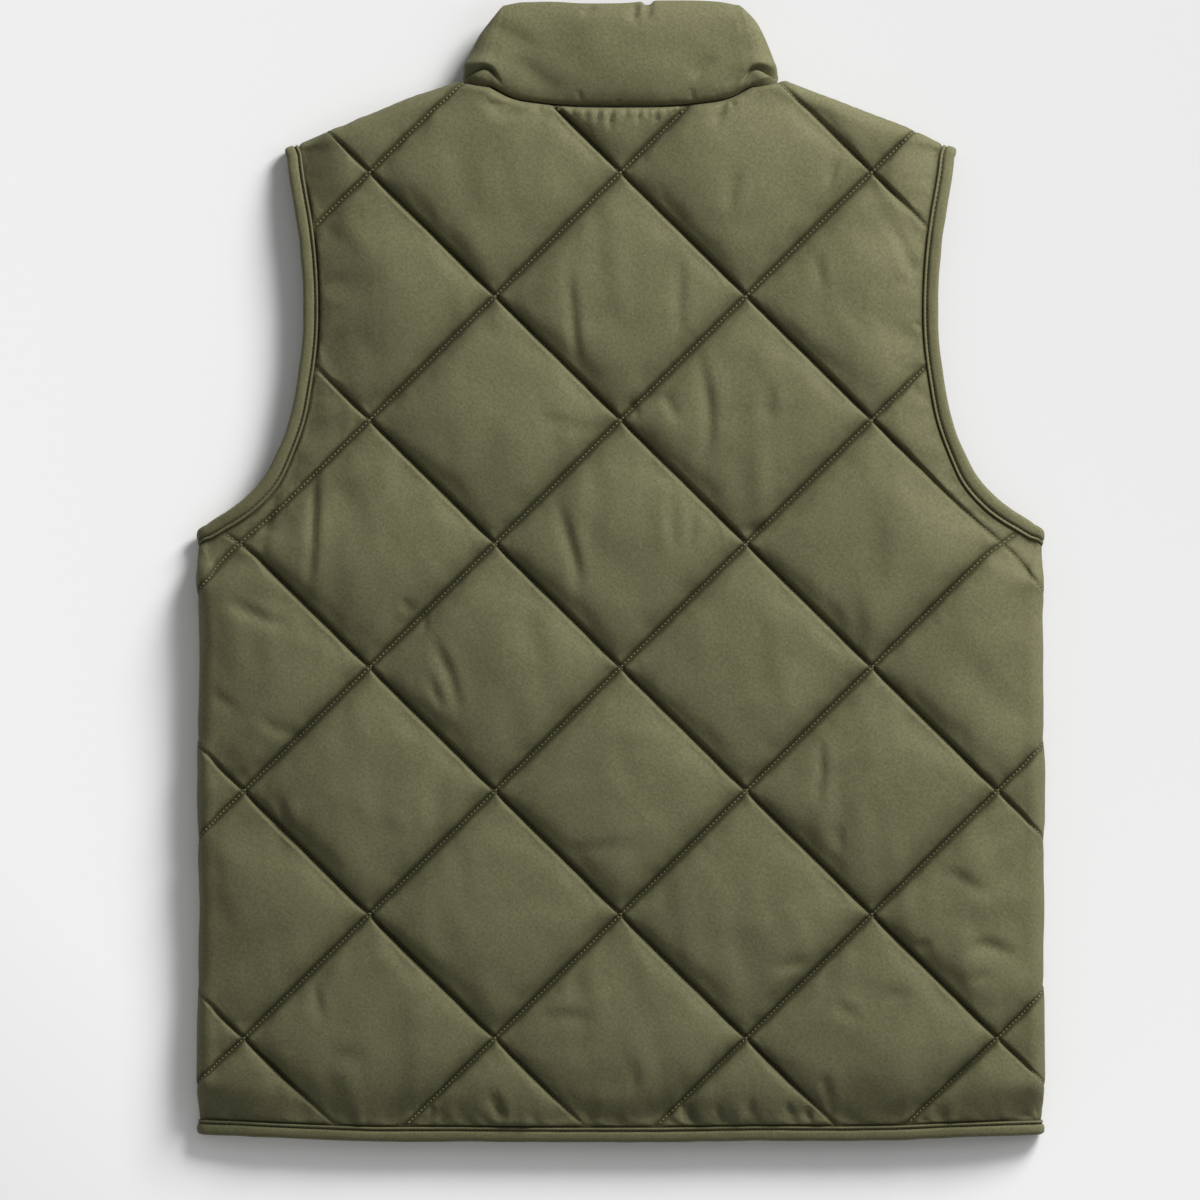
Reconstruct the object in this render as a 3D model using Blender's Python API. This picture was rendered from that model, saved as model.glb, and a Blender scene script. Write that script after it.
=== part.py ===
"""A diamond-quilted puffer vest, zipped up and laid face down, with its collar towards +Y.

Metres, +Z up. The origin is the centre of the vest's box in plan, on the surface that it lies on. +X is the
wearer's right. The back is the upper layer. It rolls over the side and shoulder folds to its seams with the
fronts, which lie under it with their quilting pressed flat against the surface.

Each quilted panel is a padded wall: a plain inside, and an outside whose points are raised into puffs between
two families of diagonal stitch lines. A panel is first laid out as its cut, then carried to its place.
"""

import math

import bmesh
import bpy
import numpy as np
from mathutils.geometry import delaunay_2d_cdt

MM = 0.001

# Overall sizes
HALF_CHEST = 275 * MM
HEM_Y = -371 * MM
SEAM_GAP = 0.3 * MM
# How the hem rises from its lowest line, x and rise in mm, and the height that takes it up
HEM_RISE = np.array([(-275, 4.6), (-248, 4.1), (-208, 2.2), (-160, 0.4), (-110, 0.5), (-40, 0), (25, 0),
                     (90, 1.1), (145, 0.8), (180, 1.4), (220, 3.2), (247, 4), (275, 4.3)])
HEM_RISE_EASE = 75 * MM

# Walls, and the heights of the panels' insides above the surface that the vest lies on
SEWN_WALL = 2.4 * MM  # padding crushed at a bound or sewn edge
STITCHED_WALL = 2.8 * MM  # padding crushed under a quilting line
PUFF_HEIGHT = 12.0 * MM  # crown of a puff over its stitch lines
BACK_LEVEL = 15.0 * MM
BACK_EDGE_LEVEL = 14.4 * MM  # at a bound edge
FRONT_LEVEL = 14.2 * MM
FRONT_ZIP_LEVEL = 8.5 * MM

# Folds at the sides and shoulders, and the same where they end at a bound edge
REACH = 12.5 * MM  # from a fold's axis to the outline
REACH_BOUND = 5.6 * MM
INNER_RADIUS = 3.0 * MM
INNER_RADIUS_BOUND = 2.1 * MM
FOLD_WALL = 8.4 * MM  # wall at a stitch line on the outermost line of a fold
FOLD_TOP_WALL = 4.4 * MM  # the same where the fold starts and ends
LINE_RADIUS = 10.5 * MM  # radius at which the cut's length is measured round a fold
ARC = math.pi * LINE_RADIUS
SEAM_INBOARD = 12 * MM  # from a fold's axis to the seam on the underside
UNDER_END = ARC + SEAM_INBOARD
FOLD_EASE = 45 * MM  # width over which the layers part towards a fold
WALL_EASE = 44 * MM  # width over which the puffs flatten towards a fold
SIDE_AXIS = HALF_CHEST - REACH
FRONT_SEAM_LEVEL = REACH - INNER_RADIUS
FRONT_EDGE_LEVEL = REACH_BOUND - INNER_RADIUS_BOUND

# Binding
TAPE = 0.7 * MM
TAPE_GAP = 0.4 * MM  # between the tape and the cloth in it
EDGE_ROOM = 0.9 * MM  # between a panel's edge and the fold of the tape
BINDING_REACH = TAPE + EDGE_ROOM  # of the binding past a panel's edge
BINDING_WIDTH = 12 * MM
HELD = BINDING_REACH - BINDING_WIDTH  # the binding's held edges, from the panel's edge
TAPE_TURN = 0.2 * MM
CRUSHED = 11.5 * MM  # width of a bound edge that the binding presses flat
EDGE_EASE = 28 * MM
EDGE_ROUND = 16 * MM  # from the binding to where the padding has its full depth
SEAM_ROUND = 14 * MM  # the same from a seam

# Quilting: the stitch lines run through the corners of diamonds this wide and tall
DIAMOND_WIDTH = 163 * MM
DIAMOND_HEIGHT = 160.6 * MM
QUILT_NODE_Y = 259.4 * MM  # a crossing of two lines on the centre line
LINE_SPACING = 1 / math.hypot(1 / DIAMOND_WIDTH, 1 / DIAMOND_HEIGHT)
PUFF_ROUND = 40 * MM  # from a stitch line to where a puff levels off
FLAT_PUFF_ROUND = 18 * MM  # the same on a puff pressed against the surface
FRONT_LINE_SHARE = 0.05  # of a front's depth that is left under its stitch lines

# Shoulder: the outline from the neck to the tip, right side
NECK_POINT = np.array([105, 320.6]) * MM
SHOULDER_TIP = np.array([219.5, 274.8]) * MM
ALONG = (SHOULDER_TIP - NECK_POINT) / np.linalg.norm(SHOULDER_TIP - NECK_POINT)
ACROSS = np.array([-ALONG[1], ALONG[0]])  # out of the shoulder, in plan
SHOULDER_AXIS = NECK_POINT - REACH * ACROSS  # a point on the fold's axis, beside the neck

# Armhole edge of the back in plan, below the shoulder: x, y in mm
BACK_ARMHOLE = [(213.8, 254), (209.3, 229), (206.1, 203), (204.8, 177), (205.4, 151), (208.7, 125),
                (213.9, 98.5), (224.3, 72), (232, 59), (244, 46.5), (254.1, 39), (261, 34.9),
                (266, 31.8)]
UNDERARM_Y = 23 * MM
# Where it crosses the side fold, in the cut: past the fold's axis, y, in mm
UNDERARM_FOLD = np.array([(0, 29.6), (6, 28.4), (16.5, 26), (25, 24), (33, 23)])
# Armhole edge of a front, cut deeper than the back's
FRONT_ARMHOLE = [(248, 23.2), (237, 29), (221, 48), (208, 74), (199, 110), (195, 150), (196, 190),
                 (201, 225)]

# Neck seam of the back in plan, then along and across the shoulder fold in the cut, in mm
BACK_NECK = [(0, 301.6), (28, 302), (52, 304), (70, 307.2)]
NECK_FOLD = np.array([(-16, 0), (-8, 6), (-2, 13), (0, 20), (-1.5, 29), (-4, 36), (-5, 45)])
# Neck seam of a front, from beside the shoulder seam to the zip
FRONT_NECK = [(85, 282), (72, 262), (52, 247), (30, 239), (6, 236)]

# Collar: the top edge, inside, on the back and on a front, x, y in mm
COLLAR_TOP_BACK = [(0, 371), (26, 371), (50, 371), (65, 370.2)]
COLLAR_TOP_FRONT = [(64, 352), (56, 332), (41, 313), (24, 302), (6, 299)]
COLLAR_FOLD_TOP = np.array([75.2, 368.2]) * MM  # where the top edge meets the fold
COLLAR_FOLD_DROP = 8.5 * MM  # of the top edge round the first half of the fold
COLLAR_FOLD_TOP_Z = 11.4 * MM
COLLAR_FOLD_INNER = 2.5 * MM
COLLAR_LEAN = math.radians(26)  # of the collar's fold from upright, towards the neck
COLLAR_PADDING = 13.6 * MM
COLLAR_FOLD_PADDING = 8.8 * MM
COLLAR_PADDING_EASE = 45 * MM
COLLAR_GAP = 0.5 * MM  # at the neck seam
COLLAR_TURN = 0.35  # share of the height over which the cloth turns from the seam to its own lie
# Section of the collar, outside up and inside down: share of its height, share of its padding
COLLAR_SECTION = np.array([
    (0.00, 0.18), (0.05, 0.52), (0.14, 0.82), (0.33, 0.98), (0.60, 1.00), (0.82, 0.88), (0.94, 0.62),
    (1.00, 0.32), (0.97, 0.08), (0.88, 0.00), (0.60, 0.00), (0.30, 0.00), (0.00, 0.00),
])

# Zip
ZIP_HALF_GAP = 6 * MM  # from the centre line to a front's edge
ZIP_FLAT = 17 * MM  # from the centre line, the width of the fronts that the tapes lie on
ZIP_EASE = 30 * MM
TAPE_EDGE = 3.1 * MM
ZIP_TAPE_WIDTH = 13 * MM
ZIP_TAPE_THICKNESS = 0.8 * MM
ZIP_RISE = 0.5 * MM + ZIP_TAPE_THICKNESS / 2  # of the zip's middle over the fronts' inside
ZIP_BOTTOM = HEM_Y + 13.5 * MM
ZIP_TOP = 296 * MM
CHAIN_WIDTH = 5.6 * MM
CHAIN_THICKNESS = 2.4 * MM
SLIDER_Y = 281 * MM  # the slider's lower end
SLIDER_LENGTH = 11 * MM
SLIDER_WIDTH = 9.4 * MM
SLIDER_PLATE = 0.9 * MM
SLIDER_MOUTH = 0.35 * MM  # between a slider plate and the chain
BAIL_LENGTH = 7 * MM
BAIL_WIDTH = 2.0 * MM
BAIL_WIRE = 0.8 * MM
BAIL_ROOM = 2.0 * MM  # clear height under the bail
BAIL_BEND = 1.0 * MM
POST_WIDTH = 3.2 * MM
POST_LENGTH = 2.6 * MM
POST_SETBACK = 0.6 * MM  # from the slider's upper end
CHAIN_IN_SLIDER = 0.6  # share of the slider's length that the chain reaches into
SUNK = 0.3 * MM  # of the post and the bail into the plates
PULL_LENGTH = 30 * MM
PULL_WIDTH = 7 * MM
PULL_THICKNESS = 1.2 * MM
PULL_CORNER = 1.8 * MM
PULL_WAIST = 1.0 * MM  # narrowing of each side between two heights
PULL_WAIST_START = 8 * MM
PULL_WAIST_END = 12 * MM
PULL_EYE = 1.4 * MM  # bar of the pull that the bail holds
WINDOW_ROOM = 0.9 * MM  # beside the bail
WINDOW_LENGTH = 4.2 * MM
BOX_LENGTH = 8 * MM
BOX_THICKNESS = 3.0 * MM

# Nets of the meshes: steps along the edges, round the folds and over the panels
HEM_STEP = 14.5 * MM
SIDE_COUNT = 26
SHOULDER_COUNT = 9
ZIP_EDGE_COUNT = 24
ARMHOLE_STEP = 12 * MM
NECK_STEP = 11 * MM
FOLD_COLUMNS = ARC * np.arange(7) / 6
INNER_COLUMNS = np.array([-45, -30, -15]) * MM
FOLD_NET = 15 * MM
FOLD_NET_ROOM = 3.8 * MM
FOLD_NET_LEAST = 6 * MM
SHOULDER_NET = 16 * MM
ROW_ROOM = 3 * MM
CROSSING_LENGTH = 25 * MM  # of the armhole edge where it turns over the side fold
BACK_OUTER_DEPTHS = CRUSHED, 18 * MM, 28 * MM
FRONT_OUTER_DEPTHS = CRUSHED, 19 * MM, 30 * MM
INNER_DEPTHS = CRUSHED, 24 * MM, 38 * MM
SEAM_DEPTHS = 5 * MM, 13.5 * MM
BACK_OFFSETS = [0, 6, 18, 40, 74.4, 96.4, 108.4]  # from each stitch line, mm
FRONT_OFFSETS = [0, 7, 18, 57.2, 96.4, 107.4]
GRID_ROOM = 5 * MM
FRONT_LEAST = 7 * MM
INNER_STEP = 34 * MM
INNER_LEAST = 15 * MM

# Finish: red, green, blue, metallic, roughness
SHELL_CLOTH = (0.135, 0.135, 0.068, 0.0, 0.62)
BINDING_CLOTH = (0.15, 0.15, 0.078, 0.0, 0.6)
ZIP_CLOTH = (0.09, 0.092, 0.05, 0.0, 0.8)
DARK_METAL = (0.06, 0.058, 0.05, 0.9, 0.42)


def ease(x):
    x = np.clip(x, 0, 1)
    return x * x * (3 - 2 * x)


def rounded(x):
    """A quarter round: steep from 0, level at 1."""
    x = np.clip(x, 0, 1)
    return np.sqrt(1 - (1 - x) ** 2)


def mix(a, b, share):
    return a + (b - a) * share


# Lines in plan and in the cut


def resampled(line, step):
    lengths = np.concatenate([[0], np.cumsum(np.linalg.norm(np.diff(line, axis=0), axis=1))])
    at = np.linspace(0, lengths[-1], max(2, round(lengths[-1] / step) + 1))
    return np.stack([np.interp(at, lengths, column) for column in line.T], axis=1)


def smooth_line(points, step):
    """A Catmull-Rom curve through the points, resampled about step apart."""
    points = np.asarray(points, float)
    p = np.vstack([2 * points[0] - points[1], points, 2 * points[-1] - points[-2]])
    t = np.linspace(0, 1, 20, endpoint=False)[:, None]
    runs = [
        0.5 * (2 * b + (c - a) * t + (2 * a - 5 * b + 4 * c - d) * t**2 + (3 * b - a - 3 * c + d) * t**3)
        for a, b, c, d in zip(p, p[1:], p[2:], p[3:])
    ]
    return resampled(np.vstack([*runs, points[-1:]]), step)


def left_normals(line):
    run = np.diff(line, axis=0)
    run /= np.linalg.norm(run, axis=1)[:, None]
    along = np.vstack([run[:1], run[:-1] + run[1:], run[-1:]])
    along /= np.linalg.norm(along, axis=1)[:, None]
    return np.stack([-along[:, 1], along[:, 0]], axis=1)


def distance(points, *lines):
    """From each point to the nearest place on any of the open lines."""
    found = np.full(len(points), np.inf)
    for line in lines:
        a, run = line[:-1], np.diff(line, axis=0)
        t = ((points[:, None] - a) * run).sum(2) / (run * run).sum(1)
        nearest = a + np.clip(t, 0, 1)[..., None] * run
        found = np.minimum(found, np.linalg.norm(points[:, None] - nearest, axis=2).min(1))
    return found


def inside(points, loop):
    x, y = points[:, :1], points[:, 1:]
    (x0, y0), (x1, y1) = loop.T, np.roll(loop, -1, axis=0).T
    rise = np.where(y1 == y0, 1, y1 - y0)
    crosses = ((y0 > y) != (y1 > y)) & (x < (x1 - x0) * (y - y0) / rise + x0)
    return crosses.sum(1) % 2 == 1


def mirrored(line):
    return line[::-1] * (-1, 1)


def shoulder_point(along, across):
    return SHOULDER_AXIS + np.multiply.outer(along, ALONG) + np.multiply.outer(across, ACROSS)


def puff(cut, width):
    """How far each point of a cut stands up between the stitch lines, 0 to 1."""
    a, b = cut[:, 0] / DIAMOND_WIDTH, (cut[:, 1] - QUILT_NODE_Y) / DIAMOND_HEIGHT
    lines = [abs(c - np.round(c)) * LINE_SPACING for c in (a + b, a - b)]
    return rounded(lines[0] / width) * rounded(lines[1] / width)


# The back


def fold_shift(cut, bound):
    """Distance past the nearer fold's axis, that fold's outward direction in plan, and how far the fold of
    a bound edge moves the cloth out."""
    side = abs(cut[:, 0]) - SIDE_AXIS
    sign = np.sign(cut[:, 0] + 1e-9)[:, None]
    right = cut * np.hstack([sign, np.ones_like(sign)])
    shoulder = (right - SHOULDER_AXIS) @ ACROSS
    high = cut[:, 1] > 150 * MM
    past = np.where(high, shoulder, side)
    out = np.where(high[:, None], ACROSS, (1.0, 0.0)) * np.hstack([sign, np.ones_like(sign)])
    near = 1 - ease(-past / FOLD_EASE)
    moved = (REACH - REACH_BOUND) * bound * near
    return past, out, moved


def back_place(cut, bound):
    """Inside of the back: points of the cut carried to their place, and the directions out of the cloth."""
    past, out, moved = fold_shift(cut, bound)
    radius = mix(INNER_RADIUS, INNER_RADIUS_BOUND, bound)
    centre = mix(REACH, REACH_BOUND, bound)
    turn = np.clip(past / ARC, 0, 1) * math.pi
    under = np.clip(past - ARC, 0, None)
    plan = cut + out * (moved - np.clip(past, 0, None) + radius * np.sin(turn) - under)[:, None]
    by_fold = np.clip(1 + past / FOLD_EASE, 0, 1) ** 2
    level = mix(mix(BACK_LEVEL, BACK_EDGE_LEVEL, bound), centre + radius, by_fold)
    z = np.where(past > 0, centre + radius * np.cos(turn), level)
    normal = np.column_stack([out * np.sin(turn)[:, None], np.cos(turn)])
    return np.column_stack([plan, z]), normal


def to_cut(plan):
    """Cut of points given in plan on the bound edge of the back."""
    cut = plan.copy()
    for _ in range(20):
        cut += plan - back_place(cut, np.ones(len(cut)))[0][:, :2]
    return cut


def back_edges():
    """Edges of the back's right half in the cut: hem, side seam, armhole, shoulder seam, neck seam."""
    seam_x = SIDE_AXIS + UNDER_END
    level_hem = np.linspace(0, SIDE_AXIS, round(SIDE_AXIS / HEM_STEP) + 1)
    s = np.concatenate([level_hem[:-1], SIDE_AXIS + FOLD_COLUMNS, [seam_x]])
    hem = np.column_stack([s, np.full(len(s), HEM_Y + BINDING_REACH)])
    y = np.linspace(hem[0, 1] + CRUSHED, UNDERARM_Y - CRUSHED, SIDE_COUNT)
    y = np.concatenate([hem[:1, 1], y, [UNDERARM_Y]])
    side = np.column_stack([np.full(len(y), seam_x), y])
    turn_y = np.interp(FOLD_COLUMNS, *(UNDERARM_FOLD * MM).T)
    turn = np.column_stack([SIDE_AXIS + FOLD_COLUMNS, turn_y])
    tip = (SHOULDER_TIP - SHOULDER_AXIS) @ ALONG - BINDING_REACH
    across = np.append(FOLD_COLUMNS, UNDER_END)
    over = shoulder_point(np.full(len(across), tip), across)
    curve = np.vstack([over[:1], to_cut(np.array(BACK_ARMHOLE) * MM), turn[:1]])[::-1]
    armhole = np.vstack([side[-1:], turn[::-1], smooth_line(curve, ARMHOLE_STEP)[1:-1], over])
    neck_end = NECK_FOLD[-1, 0] * MM
    along = np.concatenate([[tip], np.linspace(tip - CRUSHED, neck_end, SHOULDER_COUNT)])
    shoulder = shoulder_point(along, np.full(len(along), UNDER_END))
    across = across[::-1]
    neck_over = shoulder_point(np.interp(across, NECK_FOLD[:, 1] * MM, NECK_FOLD[:, 0] * MM), across)
    flat = np.vstack([np.array(BACK_NECK) * MM, neck_over[-1:]])[::-1]
    neck = np.vstack([neck_over, smooth_line(flat, NECK_STEP)[1:]])
    return hem, side, armhole, shoulder, neck


HEM, SIDE, ARMHOLE, SHOULDER, NECK = back_edges()
BOUND_LINES = HEM, mirrored(HEM), ARMHOLE, mirrored(ARMHOLE)
SEWN_LINES = SIDE, mirrored(SIDE), SHOULDER, mirrored(SHOULDER), NECK, mirrored(NECK)


def bound_share(from_edge):
    """1 where the binding presses the cloth, easing to 0 inside it."""
    return 1 - ease((from_edge - CRUSHED) / EDGE_EASE)


def back_surface(cut):
    """Inside, direction out of the cloth and wall of the back."""
    from_edge = distance(cut, *BOUND_LINES)
    bound = bound_share(from_edge)
    place, normal = back_place(cut, bound)
    past = fold_shift(cut, bound)[0]
    near = np.clip(1 + past / WALL_EASE, 0, 1) ** 2
    stand = puff(cut, PUFF_ROUND)
    line_wall = mix(FOLD_TOP_WALL, FOLD_WALL, ease(np.sin(np.clip(past / ARC, 0, 1) * math.pi)))
    full = mix(STITCHED_WALL + PUFF_HEIGHT * stand, mix(line_wall, REACH - INNER_RADIUS, stand), near)
    rise = mix(rounded((from_edge - CRUSHED) / EDGE_ROUND), 1 - bound, near)
    rise *= rounded(distance(cut, *SEWN_LINES) / SEAM_ROUND)
    return place, normal, mix(SEWN_WALL, full, rise)


# A front


def front_edges():
    """Edges of the right front in plan: hem, side seam, armhole, shoulder seam, neck seam, zip edge."""
    side = back_place(SIDE, bound_share(distance(SIDE, *BOUND_LINES)))[0][:, :2] - (SEAM_GAP, 0)
    bound = bound_share(distance(SHOULDER, *BOUND_LINES))
    shoulder = back_place(SHOULDER, bound)[0][:, :2] - SEAM_GAP * ACROSS
    x = np.linspace(ZIP_HALF_GAP, side[0, 0], round(side[0, 0] / HEM_STEP))
    hem = np.column_stack([x, np.full(len(x), side[0, 1])])
    under_tip = shoulder[:1] - CRUSHED * ACROSS
    curve = np.vstack([side[-1:], np.array(FRONT_ARMHOLE) * MM, under_tip, shoulder[:1]])
    armhole = smooth_line(curve, ARMHOLE_STEP)
    neck = smooth_line(np.vstack([shoulder[-1:], np.array(FRONT_NECK) * MM]), NECK_STEP)
    ramp = hem[0, 1] + CRUSHED + EDGE_EASE * np.arange(5) / 5
    above = np.linspace(ramp[0] + EDGE_EASE, neck[-1, 1], ZIP_EDGE_COUNT)
    y = np.concatenate([hem[:1, 1], ramp, above])[::-1]
    zip_edge = np.column_stack([np.full(len(y), ZIP_HALF_GAP), y])
    return hem, side, armhole, shoulder, neck, zip_edge


FRONT_EDGES = front_edges()


def front_level(plan):
    hem, side, armhole, shoulder, _, _ = FRONT_EDGES
    seam = 1 - ease(distance(plan, side, shoulder) / FOLD_EASE)
    by_zip = 1 - ease((plan[:, 0] - ZIP_FLAT) / ZIP_EASE)
    bound = bound_share(distance(plan, hem, armhole))
    level = mix(mix(FRONT_LEVEL, FRONT_SEAM_LEVEL, seam), FRONT_ZIP_LEVEL, by_zip)
    return mix(level, FRONT_EDGE_LEVEL, bound)


def front_surface(plan):
    """Inside, direction out of the cloth and wall of the right front, whose puffs end on the surface."""
    hem, side, armhole, shoulder, neck, zip_edge = FRONT_EDGES
    level = front_level(plan)
    stand = puff(plan, FLAT_PUFF_ROUND)
    rise = rounded((distance(plan, hem, armhole) - CRUSHED) / EDGE_ROUND)
    rise *= rounded(distance(plan, side, shoulder, neck, zip_edge) / SEAM_ROUND)
    wall = mix(SEWN_WALL, level, rise * mix(FRONT_LINE_SHARE, 1, stand))
    down = np.tile((0.0, 0.0, -1.0), (len(plan), 1))
    return np.column_stack([plan, level]), down, wall


# Bodies


def hung(verts):
    """The points with the rise of the hem."""
    verts = np.array(verts, float)
    share = 1 - ease((verts[:, 1] - HEM_Y) / HEM_RISE_EASE)
    verts[:, 1] += share * np.interp(verts[:, 0], *(HEM_RISE * MM).T)
    return verts


def new_object(name, verts, faces, finish):
    verts = hung(verts)
    mesh = bpy.data.meshes.new(name)
    mesh.from_pydata([tuple(map(float, v)) for v in verts], [], [tuple(map(int, f)) for f in faces])
    bm = bmesh.new()
    bm.from_mesh(mesh)
    bmesh.ops.triangulate(bm, faces=bm.faces[:])
    bmesh.ops.recalc_face_normals(bm, faces=bm.faces[:])
    bm.to_mesh(mesh)
    bm.free()
    material = bpy.data.materials.new(name)
    material.use_nodes = True
    shader = material.node_tree.nodes["Principled BSDF"]
    shader.inputs["Base Color"].default_value = (*finish[:3], 1)
    shader.inputs["Metallic"].default_value = finish[3]
    shader.inputs["Roughness"].default_value = finish[4]
    mesh.materials.append(material)
    obj = bpy.data.objects.new(name, mesh)
    collection.objects.link(obj)
    return obj


def triangulated(loop, rows, points):
    """Triangles of the region in a loop over its corners, its inner rows and its loose points."""
    parts = [loop, *rows, points]
    starts = np.cumsum([0] + [len(part) for part in parts])
    edges = [(start + i, start + i + 1) for start, row in zip(starts[1:], rows) for i in range(len(row) - 1)]
    verts = np.vstack(parts)
    found = delaunay_2d_cdt([tuple(v) for v in verts], edges, [list(range(len(loop)))], 1, 1e-7)
    new_verts, _, faces, origin, _, _ = found
    first = [sources[0] if sources else -1 for sources in origin]
    assert -1 not in first and len(new_verts) == len(verts), (len(new_verts), len(verts))
    return verts, [tuple(first[i] for i in face) for face in faces]


def kept(points, loop, *limits):
    """Points inside a loop that keep their distance from each group of lines."""
    points = points[inside(points, loop)]
    for lines, least in limits:
        points = points[distance(points, *lines) >= least]
    return points


def edge_rows(edge, depths, loop, *limits):
    """Rows of points inside an edge, at several depths."""
    normals = left_normals(edge)
    rows = [kept(edge + depth * normals, loop, ((edge,), depth * 0.98), *limits) for depth in depths]
    return [row for row in rows if len(row) > 1]


def thinned(points, taken, least):
    """Points no nearer than least to the ones already taken."""
    gap = np.linalg.norm(points[:, None] - taken, axis=2).min(1)
    return points[gap >= least]


def quilt_grid(offsets, low, high):
    """Points on lines that run beside the stitch lines, at offsets from each."""
    lines = np.concatenate([k + np.array(offsets) * MM / LINE_SPACING for k in range(-8, 8)])
    a, b = (grid.ravel() for grid in np.meshgrid(lines, lines))
    points = np.column_stack([(a + b) / 2 * DIAMOND_WIDTH, QUILT_NODE_Y + (a - b) / 2 * DIAMOND_HEIGHT])
    return points[((points >= low) & (points <= high)).all(1)]


def square_grid(step, low, high):
    x, y = (np.arange(a + step / 2, b, step) for a, b in zip(low, high))
    return np.stack(np.meshgrid(x, y), axis=-1).reshape(-1, 2)


def both(points):
    """Points with their mirror images, once each."""
    flipped = points[abs(points[:, 0]) > 1e-6] * (-1, 1)
    return np.vstack([points, flipped])


def wall_body(name, loop, outer_net, inner_net, surface, side=1):
    """A padded wall on the right side, or on the left where side is -1: an outer net and an inner net of
    the same loop, joined round its rim."""
    outer, outer_faces = outer_net
    inner, inner_faces = inner_net
    place, normal, wall = surface(outer)
    count = len(loop)
    verts = np.vstack([place + normal * wall[:, None], surface(inner)[0]])
    base = len(outer)
    faces = list(outer_faces) + [tuple(base + i for i in face[::-1]) for face in inner_faces]
    faces += [(i, base + i, base + (i + 1) % count, (i + 1) % count) for i in range(count)]
    return new_object(name, verts * (side, 1, 1), faces, SHELL_CLOTH)


def zone_grid(place, along, columns, loop):
    """Points of a fold's columns at steps along it, clear of the edges."""
    a, c = (grid.ravel() for grid in np.meshgrid(along, columns))
    return kept(place(a, c), loop, (BOUND_LINES, CRUSHED + FOLD_NET_ROOM), (SEWN_LINES, FOLD_NET_ROOM))


def side_point(y, past):
    return np.column_stack([SIDE_AXIS + past, y])


def back_net(loop, offsets, columns, step, depths, least):
    """A net of the back: rows inside its edges, columns round its folds and a grid of the rest."""
    rows = []
    for edge in (HEM, ARMHOLE):
        rows += edge_rows(edge, depths, loop, ((SIDE, SHOULDER), ROW_ROOM))
    rows = [row[row[:, 0] > 1e-6] for row in rows]
    crossing = ARMHOLE[ARMHOLE[:, 1] < UNDERARM_Y + CROSSING_LENGTH]
    rows += edge_rows(crossing, (CRUSHED / 2,), loop, ((SIDE,), ROW_ROOM))
    hem_depths = [np.array([(0.0, HEM_Y + BINDING_REACH + depth)]) for depth in depths]
    seam_rows = edge_rows(NECK, SEAM_DEPTHS, loop, ((ARMHOLE, SHOULDER), SEAM_ROUND))
    loose = [row[row[:, 0] > 1e-6] for row in seam_rows]
    tip = np.dot(SHOULDER_TIP - SHOULDER_AXIS, ALONG)
    folds = [
        zone_grid(side_point, np.arange(HEM_Y, UNDERARM_Y, step), columns, loop),
        zone_grid(shoulder_point, np.arange(-0.5 * SHOULDER_NET, tip, SHOULDER_NET), columns, loop),
    ]
    taken = np.vstack([*rows, *loose, loop])
    folds = [thinned(points, taken, FOLD_NET_LEAST) for points in folds]
    low, high = np.array([(-1e-6, HEM_Y), (SIDE_AXIS, NECK_POINT[1])])
    grid = quilt_grid(offsets, low, high) if offsets else square_grid(INNER_STEP, low, high)
    grid = kept(grid, loop, (BOUND_LINES, CRUSHED + GRID_ROOM), (SEWN_LINES, GRID_ROOM))
    past = fold_shift(grid, np.zeros(len(grid)))[0]
    grid = thinned(grid[past < -FOLD_NET_LEAST], taken, least)
    points = both(np.vstack([*loose, *folds, grid]))
    rows = rows + [row * (-1, 1) for row in rows]
    return triangulated(loop, rows, np.vstack([points, *hem_depths]))


def build_back():
    right = np.vstack([HEM, SIDE[1:], ARMHOLE[1:], SHOULDER[1:], NECK[1:]])
    loop = np.vstack([right, mirrored(right[1:-1])])
    under = ARC + SEAM_INBOARD / 2
    outer_columns = np.append(FOLD_COLUMNS, under)
    inner_columns = np.append(INNER_COLUMNS, FOLD_COLUMNS[::2])
    outer = back_net(loop, BACK_OFFSETS, outer_columns, FOLD_NET, BACK_OUTER_DEPTHS, GRID_ROOM)
    inner = back_net(loop, None, inner_columns, 2 * FOLD_NET, INNER_DEPTHS, INNER_LEAST)
    wall_body("back", loop, outer, inner, back_surface)


def ring(name, sections, finish, closed):
    """A body swept through sections of equal count, closed on itself or capped at both ends."""
    sections = np.asarray(sections)
    rows, count = sections.shape[:2]
    verts = sections.reshape(-1, 3)
    faces = []
    for i in range(rows if closed else rows - 1):
        a, b = i * count, (i + 1) % rows * count
        faces += [(a + j, a + (j + 1) % count, b + (j + 1) % count, b + j) for j in range(count)]
    if not closed:
        faces += [tuple(range(count))[::-1], tuple(range((rows - 1) * count, rows * count))]
    return new_object(name, verts, faces, finish)


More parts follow.
